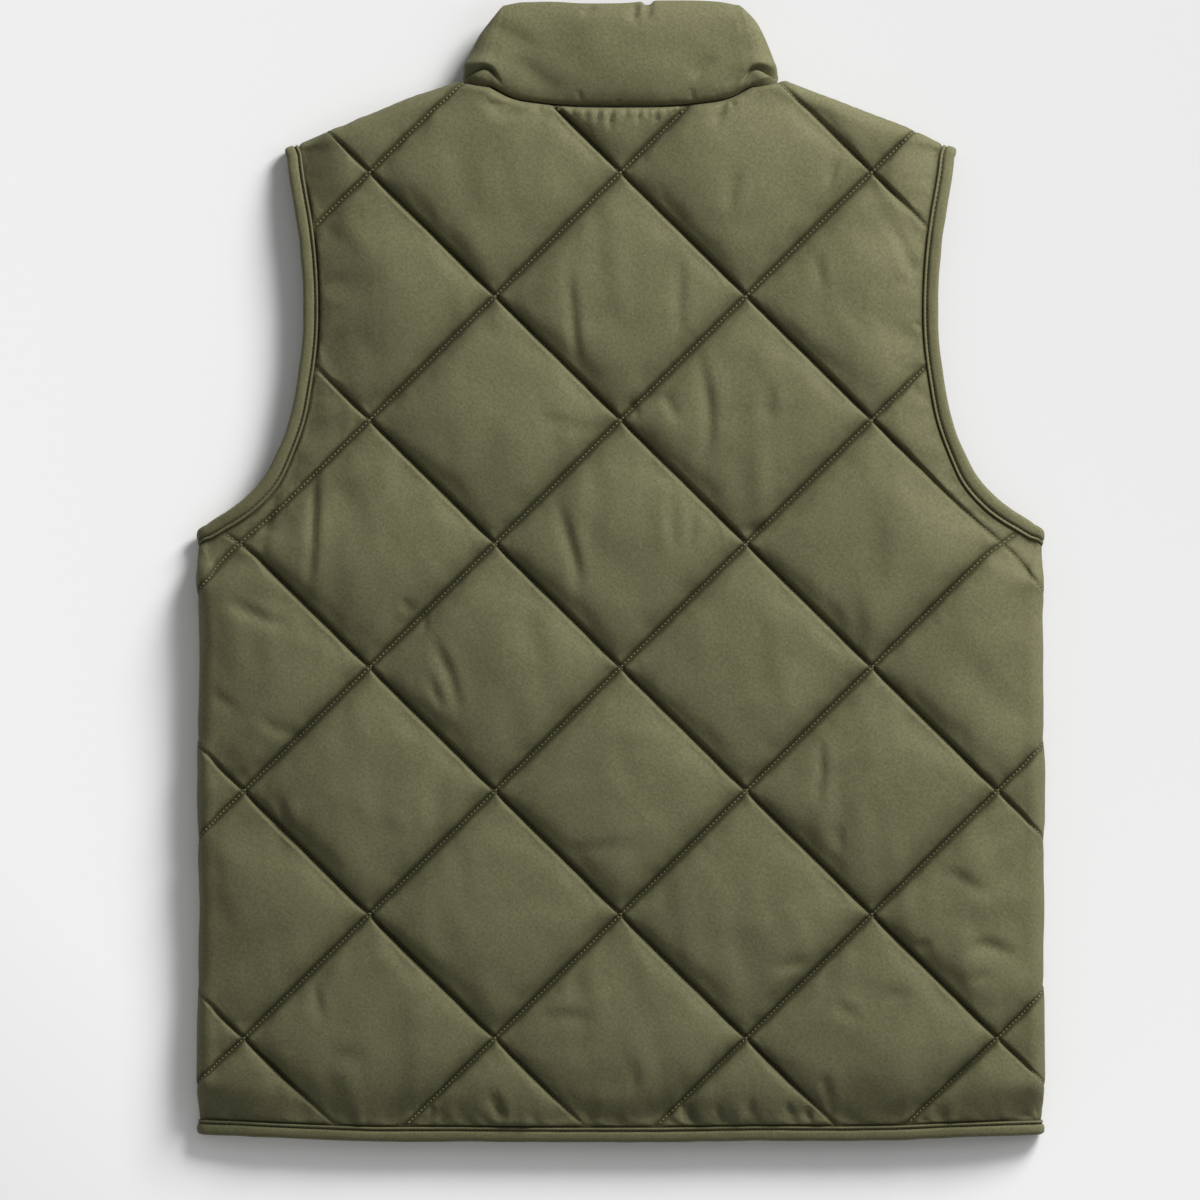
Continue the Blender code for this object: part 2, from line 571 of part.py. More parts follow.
def front_net(loop, offsets, depths, seam_depths, zip_depths, least):
    """A net of a front: rows inside its edges and a grid of the rest."""
    hem, side_seam, armhole, shoulder, neck, zip_edge = FRONT_EDGES
    bound, seams = (hem, armhole), (side_seam, shoulder, neck)
    sewn = (*seams, zip_edge)
    rows, loose = [], []
    for edge in bound:
        rows += edge_rows(edge, depths, loop, (sewn, ROW_ROOM))
    for edge in seams:
        loose += edge_rows(edge, seam_depths, loop, (bound, SEAM_ROUND), (sewn, FOLD_NET_ROOM))
    loose += edge_rows(zip_edge, zip_depths, loop, (bound, SEAM_ROUND), (seams, FOLD_NET_ROOM))
    taken = np.vstack([*rows, *loose, loop])
    low, high = loop.min(0), loop.max(0)
    grid = quilt_grid(offsets, low, high) if offsets else square_grid(INNER_STEP, low, high)
    grid = kept(grid, loop, (bound, CRUSHED + GRID_ROOM), (sewn, FRONT_LEAST))
    return triangulated(loop, rows, np.vstack([*loose, thinned(grid, taken, least)]))


def build_front(side, name):
    loop = np.vstack([edge[:-1] for edge in FRONT_EDGES])
    by_zip = ZIP_FLAT - ZIP_HALF_GAP, ZIP_FLAT + ZIP_EASE / 2
    outer = front_net(loop, FRONT_OFFSETS, FRONT_OUTER_DEPTHS, SEAM_DEPTHS, SEAM_DEPTHS, FRONT_LEAST)
    inner = front_net(loop, None, INNER_DEPTHS, (), by_zip, INNER_LEAST)
    wall_body(name, loop, outer, inner, front_surface, side)


def tape_section(along):
    """The binding's section: distances past the panel's edge, and heights over its inside."""
    high = SEWN_WALL + TAPE_GAP
    turned = [(TAPE_TURN, high + TAPE), (BINDING_REACH, SEWN_WALL - TAPE_TURN)]
    outside = [(x, high + TAPE) for x in along] + turned
    within = [(x, high) for x in along] + [(EDGE_ROOM, high)]
    mirror = [[(x, SEWN_WALL - y) for x, y in side] for side in (outside, within)]
    return outside + mirror[0][::-1] + mirror[1] + within[::-1]


def bound_sections(line, surface, section):
    """Sections of a binding at the points of a panel's edge."""
    out = -left_normals(line)
    points = []
    for past, height in section:
        place, normal, _ = surface(line + past * out)
        points.append(place + height * normal)
    return np.stack(points, axis=1)


def build_armhole_binding(side, name):
    section = tape_section((HELD, -CRUSHED / 2))
    back = bound_sections(ARMHOLE, back_surface, section)
    front = bound_sections(FRONT_EDGES[2], front_surface, section)
    ring(name, np.concatenate([back, front[::-1][1:-1]]) * (side, 1, 1), BINDING_CLOTH, closed=True)


def build_hem_binding():
    section = tape_section((HELD,))
    back = bound_sections(np.vstack([mirrored(HEM[1:]), HEM]), back_surface, section)
    front = bound_sections(FRONT_EDGES[0], front_surface, section)
    left = front[:-1] * (-1, 1, 1)
    ring("hem_binding", np.concatenate([left, back, front[:-1][::-1]]), BINDING_CLOTH, closed=False)


def at_shares(line, shares):
    """Points of a line at shares of its length."""
    lengths = np.concatenate([[0], np.cumsum(np.linalg.norm(np.diff(line, axis=0), axis=1))])
    return np.stack([np.interp(np.array(shares) * lengths[-1], lengths, column) for column in line.T], axis=1)


def shares_of(line):
    lengths = np.concatenate([[0], np.cumsum(np.linalg.norm(np.diff(line, axis=0), axis=1))])
    return lengths / lengths[-1]


def collar_stations():
    """The collar's right half from the centre back over the fold to the zip: base, top, their directions out
    of the cloth, and the padding."""
    line = NECK[::-1]
    past = (line - SHOULDER_AXIS) @ ACROSS
    flat, fold, under = past < -1e-6, (past >= -1e-6) & (past < ARC + 1e-6), past > ARC + 1e-6
    beyond = line + COLLAR_GAP * left_normals(line)
    base, out, _ = back_surface(beyond)
    neck = FRONT_EDGES[4]
    front, front_out, _ = front_surface(neck[1:] - COLLAR_GAP * left_normals(neck)[1:])
    front[-1, 0] = ZIP_HALF_GAP
    turn = past[fold] / ARC * math.pi
    lean = np.array([math.cos(COLLAR_LEAN), math.sin(COLLAR_LEAN), 0])
    up = np.array([0, 0, 1])
    fold_out = np.outer(np.sin(turn), lean) + np.outer(np.cos(turn), up)
    fold_top = np.array([*COLLAR_FOLD_TOP, COLLAR_FOLD_TOP_Z]) + COLLAR_FOLD_INNER * fold_out
    fold_top[:, 1] -= COLLAR_FOLD_DROP * ease(turn / (math.pi / 2))
    back_line = np.vstack([smooth_line(np.array(COLLAR_TOP_BACK) * MM, MM), fold_top[:1, :2]])
    back_top = at_shares(back_line, shares_of(line[flat | (past == past[fold][0])])[:-1])
    back_z = mix(BACK_LEVEL, fold_top[0, 2], ease(back_top[:, 0] / COLLAR_FOLD_TOP[0]))
    front_line = smooth_line(np.vstack([fold_top[-1:, :2], np.array(COLLAR_TOP_FRONT) * MM]), MM)
    under_line = np.vstack([base[fold][-1:], base[under], front])[:, :2]
    front_top = at_shares(front_line, shares_of(under_line)[1:])
    front_z = mix(fold_top[-1, 2], FRONT_ZIP_LEVEL, ease(np.linspace(0, 2, len(front_top))))
    top = np.vstack([np.column_stack([back_top, back_z]), fold_top, np.column_stack([front_top, front_z])])
    base, out = np.vstack([base, front]), np.vstack([out, front_out])
    top_out = np.vstack([np.tile(up, (len(back_top), 1)), fold_out, np.tile(-up, (len(front_top), 1))])
    padding = np.where(top_out[:, 2] < -0.999, FRONT_ZIP_LEVEL, COLLAR_FOLD_PADDING)
    from_fold = np.linalg.norm(base[: len(back_top), :2] - fold_top[0, :2], axis=1)
    fuller = ease(from_fold / COLLAR_PADDING_EASE - 1)
    padding[: len(back_top)] = mix(COLLAR_FOLD_PADDING, COLLAR_PADDING, fuller)
    return base, top, out, top_out, padding


def build_collar():
    base, top, out, top_out, padding = collar_stations()
    height, depth = COLLAR_SECTION[:, :1, None], COLLAR_SECTION[:, 1:, None]
    turned = mix(out, top_out, ease(height / COLLAR_TURN))
    turned /= np.linalg.norm(turned, axis=2)[..., None]
    sections = mix(base, top, height) + turned * depth * padding[:, None]
    sections[..., 2] = np.maximum(sections[..., 2], 0)
    sections = sections.transpose(1, 0, 2)
    ring("collar", np.concatenate([sections[:0:-1] * (-1, 1, 1), sections]), SHELL_CLOTH, closed=False)


# Zip


def zip_middle(y):
    """Height of the zip's middle."""
    points = np.column_stack([np.full(len(y), ZIP_HALF_GAP), y])
    return front_level(points) + ZIP_RISE


def strip(name, x, y, thickness, finish):
    """A flat strip along the zip, between two x, at its stations in y."""
    y = np.asarray(y, float)
    corners = [(x[0], -1), (x[1], -1), (x[1], 1), (x[0], 1)]
    middle = zip(y, zip_middle(y))
    sections = [[(cx, cy, cz + side * thickness / 2) for cx, side in corners] for cy, cz in middle]
    return ring(name, sections, finish, closed=False)


def extruded(name, outline, axis, low, high, finish):
    """A closed outline pushed along an axis, 0 for X or 1 for Y; its points are the other two coordinates."""
    sections = [np.insert(np.asarray(outline, float), axis, at, axis=1) for at in (low, high)]
    return ring(name, sections, finish, closed=False)


def joined(base, *others):
    """The bodies made one, or cut when a body's name starts with cut."""
    for other in others:
        modifier = base.modifiers.new("join", "BOOLEAN")
        modifier.operation = "DIFFERENCE" if other.name.startswith("cut") else "UNION"
        modifier.solver = "EXACT"
        modifier.object = other
        collection.objects.unlink(other)
        cutters.objects.link(other)
        other.hide_render = True
        other.display_type = "WIRE"
    return base


def build_zip():
    ramp = np.linspace(ZIP_BOTTOM, ZIP_BOTTOM + EDGE_EASE, 6)
    for sign, hand in ((1, "right"), (-1, "left")):
        x = sorted((sign * TAPE_EDGE, sign * (TAPE_EDGE + ZIP_TAPE_WIDTH)))
        strip("zip_tape_" + hand, x, [*ramp, ZIP_TOP], ZIP_TAPE_THICKNESS, ZIP_CLOTH)
    half = CHAIN_WIDTH / 2
    strip("zip_box", (-half, half), (ZIP_BOTTOM, ZIP_BOTTOM + BOX_LENGTH), BOX_THICKNESS, DARK_METAL)
    chain_start = ZIP_BOTTOM + BOX_LENGTH + SEAM_GAP
    chain = [chain_start, *ramp[ramp > chain_start + SEAM_GAP], SLIDER_Y + SLIDER_LENGTH * CHAIN_IN_SLIDER]
    strip("zip_chain", (-half, half), chain, CHAIN_THICKNESS, DARK_METAL)
    build_slider()


def box(half, low, high):
    """Outline of a rectangle, wide both ways by half, between two heights."""
    return [(-half, low), (half, low), (half, high), (-half, high)]


def build_slider():
    """Two plates joined by a post at the top, with the pull's bail on the one that faces outward."""
    middle = zip_middle(np.array([SLIDER_Y]))[0]
    near = CHAIN_THICKNESS / 2 + SLIDER_MOUTH
    far = near + SLIDER_PLATE
    wide = SLIDER_WIDTH / 2
    ends = SLIDER_Y, SLIDER_Y + SLIDER_LENGTH
    lower = extruded("zip_slider", box(wide, middle - far, middle - near), 1, *ends, DARK_METAL)
    upper = extruded("slider_upper_plate", box(wide, middle + near, middle + far), 1, *ends, DARK_METAL)
    reach = far - SUNK
    post_end = ends[1] - POST_SETBACK
    post = box(POST_WIDTH / 2, middle - reach, middle + reach)
    post = extruded("slider_post", post, 1, post_end - POST_LENGTH, post_end, DARK_METAL)
    eye_y = SLIDER_Y + SLIDER_LENGTH / 2
    floor = middle - far
    a, b = BAIL_LENGTH / 2, BAIL_LENGTH / 2 - BAIL_WIRE
    deep, room = BAIL_ROOM + BAIL_WIRE, BAIL_ROOM
    arch = [(a, -SUNK), (a, room), (a - BAIL_BEND, deep), (BAIL_BEND - a, deep), (-a, room), (-a, -SUNK),
            (-b, -SUNK), (-b, room - SUNK), (SUNK - b, room), (b - SUNK, room), (b, room - SUNK), (b, -SUNK)]
    arch = [(eye_y + y, floor - z) for y, z in arch]
    bail = extruded("slider_bail", arch, 0, -BAIL_WIDTH / 2, BAIL_WIDTH / 2, DARK_METAL)
    joined(lower, upper, post, bail)
    build_pull(eye_y, floor - room / 2)


def build_pull(eye_y, level):
    """The pull tab: a plate with a window round the bail, lying along the zip towards the hem."""
    head = PULL_EYE / 2
    wide = PULL_WIDTH / 2
    tail = PULL_LENGTH - head
    half = [(wide - PULL_CORNER / 2, head), (wide, head - PULL_CORNER), (wide, -PULL_WAIST_START),
            (wide - PULL_WAIST, -PULL_WAIST_END), (wide - PULL_WAIST / 2, PULL_CORNER - tail),
            (wide - PULL_CORNER, -tail)]
    outline = half + [(-x, y) for x, y in half[::-1]]
    low, high = level - PULL_THICKNESS / 2, level + PULL_THICKNESS / 2
    plate = extruded_flat("zip_pull", [(x, eye_y + y) for x, y in outline], low, high)
    window = box(BAIL_WIDTH / 2 + WINDOW_ROOM, -head - WINDOW_LENGTH, -head)
    window = extruded_flat("cut_pull_window", [(x, eye_y + y) for x, y in window], low - MM, high + MM)
    joined(plate, window)


def extruded_flat(name, outline, low, high):
    sections = [[(x, y, z) for x, y in outline] for z in (low, high)]
    return ring(name, sections, DARK_METAL, closed=False)


for item in list(bpy.data.objects):
    bpy.data.objects.remove(item, do_unlink=True)
collection = bpy.data.collections.new("Puffer vest")
cutters = bpy.data.collections.new("Cutters")
for group in (collection, cutters):
    bpy.context.scene.collection.children.link(group)
build_back()
for side, hand in ((1, "right"), (-1, "left")):
    build_front(side, "front_" + hand)
    build_armhole_binding(side, "armhole_binding_" + hand)
build_hem_binding()
build_collar()
build_zip()
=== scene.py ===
import math

import bpy
import numpy as np
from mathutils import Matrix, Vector
from mathutils.geometry import delaunay_2d_cdt


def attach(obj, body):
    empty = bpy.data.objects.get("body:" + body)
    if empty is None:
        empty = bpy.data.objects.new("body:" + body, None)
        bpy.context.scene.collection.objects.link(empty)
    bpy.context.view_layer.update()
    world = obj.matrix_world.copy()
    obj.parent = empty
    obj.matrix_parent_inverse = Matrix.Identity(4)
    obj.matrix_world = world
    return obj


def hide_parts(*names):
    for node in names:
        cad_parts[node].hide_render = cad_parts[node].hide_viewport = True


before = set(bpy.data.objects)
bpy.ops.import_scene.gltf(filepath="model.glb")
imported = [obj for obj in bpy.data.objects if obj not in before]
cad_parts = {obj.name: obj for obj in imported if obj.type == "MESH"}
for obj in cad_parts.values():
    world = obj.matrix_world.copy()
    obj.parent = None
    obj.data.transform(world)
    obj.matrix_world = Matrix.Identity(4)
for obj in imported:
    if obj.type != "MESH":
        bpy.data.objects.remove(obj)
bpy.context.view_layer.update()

# A diamond-quilted puffer vest, zipped up and laid face down. Each quilted panel is laid out as its cut,
# meshed there, and carried to its place. Then its filling is blown up by a cloth simulation, and its seams,
# puckers, creases and stitches are worked in.

MM = 0.001

# Sizes, most of them shared with the solids
HALF_CHEST = 275 * MM
HEM_Y = -371 * MM
HEM_RISE = np.array([(-275, 4.6), (-248, 4.1), (-208, 2.2), (-160, 0.4), (-110, 0.5), (-40, 0), (25, 0),
                     (90, 1.1), (145, 0.8), (180, 1.4), (220, 3.2), (247, 4), (275, 4.3)])
HEM_RISE_EASE = 75 * MM
HEM_DROOP = 0.15  # how far the cloth bends down over the last part above the hem's edge, a unit of its length
HEM_DROOP_FROM = 14 * MM
SEAM_GAP = 0.3 * MM
SEWN_WALL = 2.4 * MM  # thickness of the cloth in a seam or a binding
STITCHED_WALL = 2.8 * MM  # and at a stitch line
PUFF_HEIGHT = 12.0 * MM
BACK_LEVEL = 15.0 * MM  # height of the inside of the back, and so on
BACK_EDGE_LEVEL = 14.4 * MM
FRONT_LEVEL = 14.2 * MM
FRONT_ZIP_LEVEL = 8.5 * MM
REACH = 12.5 * MM  # from the outline to the axis of a fold, and the height of that axis
REACH_BOUND = 5.6 * MM  # the same where a binding holds the cloth
INNER_RADIUS = 3.0 * MM
INNER_RADIUS_BOUND = 2.1 * MM
FOLD_WALL = 8.4 * MM
FOLD_TOP_WALL = 3.4 * MM
LINE_RADIUS = 10.5 * MM  # on which a fold's length in the cut is counted
ARC = math.pi * LINE_RADIUS
SEAM_INBOARD = 12 * MM  # from a fold to its seam underneath
UNDER_END = ARC + SEAM_INBOARD
FOLD_EASE = 45 * MM  # over which the level changes beside a fold
WALL_EASE = 44 * MM  # and the wall
SIDE_AXIS = HALF_CHEST - REACH
FRONT_SEAM_LEVEL = REACH - INNER_RADIUS
FRONT_EDGE_LEVEL = REACH_BOUND - INNER_RADIUS_BOUND
TAPE = 0.7 * MM
TAPE_GAP = 0.4 * MM
EDGE_ROOM = 0.9 * MM
BINDING_REACH = TAPE + EDGE_ROOM  # of the tape past the cloth's edge
BINDING_WIDTH = 9.9 * MM  # this and the next are less than the solids' widths
CRUSHED = 9.1 * MM  # how far in the cloth is pressed flat
HELD = BINDING_REACH - BINDING_WIDTH
EDGE_EASE = 28 * MM
EDGE_ROUND = 9 * MM
SEAM_ROUND = 14 * MM
NECK_ROUND = 5 * MM
DIAMOND_WIDTH = 163 * MM
DIAMOND_HEIGHT = 160.6 * MM
QUILT_NODE_Y = 259.4 * MM
LINE_SPACING = 1 / math.hypot(1 / DIAMOND_WIDTH, 1 / DIAMOND_HEIGHT)
FLAT_PUFF_ROUND = 18 * MM
FLAT_PUFF_LEAST = 0.05  # share of the wall that a stitch line of a front adds
NECK_POINT = np.array([105, 320.6]) * MM
SHOULDER_TIP = np.array([219.5, 274.8]) * MM
ALONG = (SHOULDER_TIP - NECK_POINT) / np.linalg.norm(SHOULDER_TIP - NECK_POINT)
ACROSS = np.array([-ALONG[1], ALONG[0]])
SHOULDER_AXIS = NECK_POINT - REACH * ACROSS
SHOULDER_FROM = 150 * MM  # the cut above this belongs to the shoulders' folds, the rest to the sides'
BACK_ARMHOLE = [(213.8, 254), (209.3, 229), (206.1, 203), (204.8, 177), (205.4, 151), (208.7, 125),
                (213.9, 98.5), (224.3, 72), (232, 59), (244, 46.5), (254.1, 39), (261, 34.9),
                (266, 31.8)]
UNDERARM_Y = 23 * MM
UNDERARM_FOLD = np.array([(0, 29.6), (6, 28.4), (16.5, 26), (25, 24), (33, 23)])
ARMHOLE_LEAD = 11 * MM  # of the front's armhole, straight from its shoulder seam
FRONT_ARMHOLE = [(248, 23.2), (237, 29), (221, 48), (208, 74), (199, 110), (195, 150), (196, 190),
                 (201, 225)]
BACK_NECK = [(0, 301.6), (28, 302), (52, 304), (70, 307.2)]
NECK_FOLD = np.array([(-16, 0), (-8, 6), (-2, 13), (0, 20), (-1.5, 29), (-4, 36), (-5, 45)])
FRONT_NECK = [(85, 282), (72, 262), (52, 247), (30, 239), (6, 236)]
COLLAR_TOP_BACK = [(0, 371), (26, 371), (50, 371), (65, 370.2)]
COLLAR_TOP_FRONT = [(64, 352), (56, 332), (41, 313), (24, 302), (6, 299)]
COLLAR_FOLD_TOP = np.array([75.2, 368.2]) * MM
COLLAR_FOLD_DROP = 8.5 * MM
COLLAR_FOLD_TOP_Z = 11.4 * MM
COLLAR_FOLD_INNER = 2.5 * MM
COLLAR_LEAN = math.radians(26)
COLLAR_PADDING = 13.6 * MM
COLLAR_FOLD_PADDING = 9.0 * MM
COLLAR_GAP = 0.9 * MM
COLLAR_TURN = 0.35
# The collar's section: share of its height, share of its padding outward
COLLAR_SECTION = [
    (0, 0.26), (0.03, 0.54), (0.08, 0.72), (0.16, 0.86), (0.33, 0.98), (0.6, 1), (0.82, 0.88), (0.94, 0.62),
    (1, 0.32), (0.97, 0.08), (0.88, 0), (0.6, 0), (0.3, 0), (0, 0),
]
ZIP_HALF_GAP = 6 * MM
ZIP_FLAT = 17 * MM
ZIP_EASE = 30 * MM
ZIP_TAPE_THICKNESS = 0.8 * MM
ZIP_RISE = 0.5 * MM + ZIP_TAPE_THICKNESS / 2
ZIP_BOTTOM = HEM_Y + 13.5 * MM
CHAIN_WIDTH = 5.6 * MM
CHAIN_THICKNESS = 2.4 * MM
SLIDER_Y = 281 * MM
BOX_LENGTH = 8 * MM

# Rise of the filled cloth beside the stitch lines that fall to the right: mm from the line, share of the puff's
# height. The filling has sunk a little, so that each puff is rounder on its upper right side of a line.
UPPER_RISE = np.array([(0, 0), (0.4, 0.055), (0.8, 0.18), (1.4, 0.405), (2.2, 0.56), (3, 0.615), (6, 0.69),
                       (10, 0.765), (14, 0.825), (18, 0.87), (23, 0.912), (29, 0.945), (39, 0.98), (57, 1.0),
                       (80, 1.0)])
LOWER_RISE = np.array([(0, 0), (0.35, 0.04), (0.7, 0.17), (1.1, 0.38), (1.6, 0.59), (2.2, 0.69), (3, 0.715),
                       (4, 0.728), (6, 0.752), (10, 0.795), (14, 0.835), (23, 0.905), (29, 0.938), (39, 0.98),
                       (57, 1.0), (80, 1.0)])

# The same beside the lines that rise to the right, which are sewn tighter
TIGHT_RISE = np.array([(0, 0), (0.4, 0.06), (0.8, 0.155), (1.2, 0.25), (1.6, 0.335), (2.3, 0.45), (3, 0.53),
                       (4.2, 0.625), (5.8, 0.715), (8, 0.8), (12, 0.885), (18, 0.945), (28, 0.98), (39, 0.99),
                       (57, 1.0), (80, 1.0)])

# The same from where a binding lets go of the cloth: the back sinks gently towards its bound edges
EDGE_RISE = np.array([(0, 0), (0.3, 0.08), (0.8, 0.17), (3, 0.225), (5, 0.28), (10, 0.42), (15, 0.565), (20, 0.69),
                      (27, 0.83), (35, 0.94), (45, 1.0), (90, 1.0)])

# Painted shade: how much of the cloth's light colour is taken away in the grooves beside the two families of
# stitch lines, where shade falls: mm from the line, share
FALLING_LINE_SHADE = np.array([(0, 0.15), (1.5, 0.15), (2.2, 0.1), (3, 0.05), (4.5, 0)])
RISING_LINE_SHADE = np.array([(0, 1), (1.5, 1), (2.4, 0.5), (3.2, 0.22), (4.5, 0.14), (8, 0.11), (12, 0.08), (25, 0)])
# Painted shade in the gap between a binding and the cloth
BINDING_GAP_SHADE = np.array([(7.3, 0), (8.2, 0.9), (9.5, 0.9), (10.3, 0.3), (12.5, 0)])  # beside a bound edge
# The colour that the painted shade multiplies the cloth by at its full share: darker and less blue, like shade
PAINTED_SHADE_TONE = (0.42, 0.418, 0.31, 1)

# Nets: spacing of the mesh before it is split once
EDGE_STEP = 3.5 * MM
NEAR_LINE = np.array([0, 0.8, 1.6, 3.0, 5.2, 8.4, 12.4, 17]) * MM  # rows of the net beside a stitch line
LINE_BAND = 3.4 * MM
BOUND_BAND = 24 * MM  # rows that follow a bound edge reach this far in
BOUND_ROWS = np.array([4.6, 8.4, 9.1, 9.7, 10.7, 12.3, 14.8, 18.2, 22.4]) * MM
SEWN_BAND = 8 * MM
SEWN_ROWS = np.array([1.6, 3.8, 6.8]) * MM
ROW_ROOM = 2.4 * MM  # from a row to the other edges
POINT_ROOM = 1.0 * MM  # between two points of rows
INNER_SPACING = 22 * MM
INNER_ROOM = 8 * MM
LOOSE_FROM_BOUND, LOOSE_FROM_SEWN = BOUND_BAND + 2.2 * MM, SEWN_BAND + 1 * MM  # where the loose net ends
LINES_FROM_BOUND, LINES_FROM_SEWN = CRUSHED + 0.8 * MM, 1.6 * MM  # and the net beside the stitch lines
# Rows of an edge give way to a stitch line so near, from so far in
ROWS_FROM_LINE, ROWS_YIELD_FROM = LINE_BAND + 0.4 * MM, CRUSHED + 0.3 * MM
AT_ONCE = 4000  # points handled in one go
MOST_LINES = 8  # to each side of the middle, more than cross a panel

# How near the stitch lines, the bindings and the seams the cloth doesn't move when it is blown up
STILL_BY_LINE, STILL_BY_BINDING, STILL_BY_SEAM = 1.0 * MM, CRUSHED + 1 * MM, 2.5 * MM
EASED_BY_LINE = 0.5 * MM
LEAST_WALL = 1.2 * MM

# Stitches
STITCH_PITCH = 2.8 * MM
STITCH_LENGTH = 1.9 * MM
THREAD_RADIUS = 0.44 * MM
TAPE_THREAD_RADIUS = 0.26 * MM
TAPE_THREAD_SINK = 0.45 * MM
LEAST_THREAD_LEVEL = 0.4 * MM
STITCHED_REACH = 1.6  # metres both ways along each line, before the stitches off the panel are dropped
STITCH_FROM_BOUND, STITCH_FROM_SEWN, FIRST_TAPE_STITCH = CRUSHED + 0.3 * MM, 2 * MM, 1.5 * MM


def ease(x):
    x = np.clip(x, 0, 1)
    return x * x * (3 - 2 * x)


def rounded(x):
    """A quarter round: steep from 0, level at 1."""
    x = np.clip(x, 0, 1)
    return np.sqrt(1 - (1 - x) ** 2)


def mix(a, b, share):
    return a + (b - a) * share


def read(table, away):
    """A table's value at a distance; the table has mm in its first column."""
    return np.interp(away / MM, *table.T)


def noise(x, y, seed):
    """Smooth uneven values from -1 to 1, about one swing a unit."""
    table = np.random.default_rng(seed).uniform(-1, 1, (64, 64))
    i, j = np.floor(x).astype(int), np.floor(y).astype(int)
    u, v = ease(x - i), ease(y - j)
    near = mix(table[i % 64, j % 64], table[(i + 1) % 64, j % 64], u)
    far = mix(table[i % 64, (j + 1) % 64], table[(i + 1) % 64, (j + 1) % 64], u)
    return mix(near, far, v)


# Lines in plan and in the cut


def lengths_of(line):
    return np.concatenate([[0], np.cumsum(np.linalg.norm(np.diff(line, axis=0), axis=1))])


def at_lengths(line, at):
    lengths = lengths_of(line)
    return np.stack([np.interp(at, lengths, column) for column in line.T], axis=1)


def resampled(line, step):
    whole = lengths_of(line)[-1]
    return at_lengths(line, np.linspace(0, whole, max(2, round(whole / step) + 1)))


def smooth_line(points, step):
    """A Catmull-Rom curve through the points, resampled about step apart."""
    points = np.asarray(points, float)
    p = np.vstack([2 * points[0] - points[1], points, 2 * points[-1] - points[-2]])
    t = np.linspace(0, 1, 20, endpoint=False)[:, None]
    runs = [
        0.5 * (2 * b + (c - a) * t + (2 * a - 5 * b + 4 * c - d) * t**2 + (3 * b - a - 3 * c + d) * t**3)
        for a, b, c, d in zip(p, p[1:], p[2:], p[3:])
    ]
    return resampled(np.vstack([*runs, points[-1:]]), step)


def left_normals(line):
    run = np.diff(line, axis=0)
    run /= np.linalg.norm(run, axis=1)[:, None]
    along = np.vstack([run[:1], run[:-1] + run[1:], run[-1:]])
    along /= np.linalg.norm(along, axis=1)[:, None]
    return np.stack([-along[:, 1], along[:, 0]], axis=1)


def handfuls(points):
    return [slice(first, first + AT_ONCE) for first in range(0, len(points), AT_ONCE)]


def beside(points, line):
    """Of each point: its distance from an open line, positive to the left, and the length along the line."""
    off, along = np.full(len(points), np.inf), np.zeros(len(points))
    start, run = line[:-1], np.diff(line, axis=0)
    size, lengths = (run * run).sum(1), lengths_of(line)
    for some in handfuls(points):
        away = points[some, None] - start
        t = np.clip((away * run).sum(2) / size, 0, 1)
        away -= t[..., None] * run
        square = (away * away).sum(2)
        best = square.argmin(1)
        row = np.arange(len(best))
        turn = run[best, 0] * away[row, best, 1] - run[best, 1] * away[row, best, 0]
        off[some] = np.sqrt(square[row, best]) * np.where(turn < 0, -1, 1)
        along[some] = lengths[best] + t[row, best] * np.sqrt(size[best])
    return off, along


def distance(points, *lines):
    """From each point to the nearest place on any of the open lines."""
    return np.min([abs(beside(points, line)[0]) for line in lines], axis=0)


def inside(points, loop):
    found = np.zeros(len(points), bool)
    (x0, y0), (x1, y1) = loop.T, np.roll(loop, -1, axis=0).T
    rise = np.where(y1 == y0, 1, y1 - y0)
    for some in handfuls(points):
        x, y = points[some, :1], points[some, 1:]
        crosses = ((y0 > y) != (y1 > y)) & (x < (x1 - x0) * (y - y0) / rise + x0)
        found[some] = crosses.sum(1) % 2 == 1
    return found


def mirrored(line):
    return line[::-1] * (-1, 1)


def shoulder_point(along, across):
    return SHOULDER_AXIS + np.multiply.outer(along, ALONG) + np.multiply.outer(across, ACROSS)


# Quilting


def quilt_lines(cut):
    """For each family of stitch lines: the distance from the nearest line, signed, its number, and the length
    along it."""
    a, b = cut[:, 0] / DIAMOND_WIDTH, (cut[:, 1] - QUILT_NODE_Y) / DIAMOND_HEIGHT
    for across, along in ((a + b, a - b), (a - b, a + b)):
        number = np.round(across)
        yield (across - number) * LINE_SPACING, number, along * LINE_SPACING


def puff(cut, width):
    """How far each point of a cut stands up between the stitch lines, 0 to 1."""
    first, second = (abs(off) for off, _, _ in quilt_lines(cut))
    return rounded(first / width) * rounded(second / width)


def filled(cut):
    """How far each point of the back's cut stands up: steep beside a stitch line, nearly level in the middle."""
    (falling, _, _), (rising, _, _) = quilt_lines(cut)
    upper, lower = (read(rise, abs(falling)) for rise in (UPPER_RISE, LOWER_RISE))
    return np.where(falling > 0, upper, lower) * read(TIGHT_RISE, abs(rising))


def painted_groove_shade(cut, bound):
    """How much painted shade darkens each point of a cut beside the stitch lines and the bindings."""
    offs = [abs(off) for off, _, _ in quilt_lines(cut)] + [distance(cut, *bound)]
    return np.max([read(painted_shade, off) for painted_shade, off in zip((FALLING_LINE_SHADE, RISING_LINE_SHADE, BINDING_GAP_SHADE), offs)], axis=0)


def line_distance(cut):
    return np.min([abs(off) for off, _, _ in quilt_lines(cut)], axis=0)


# The back


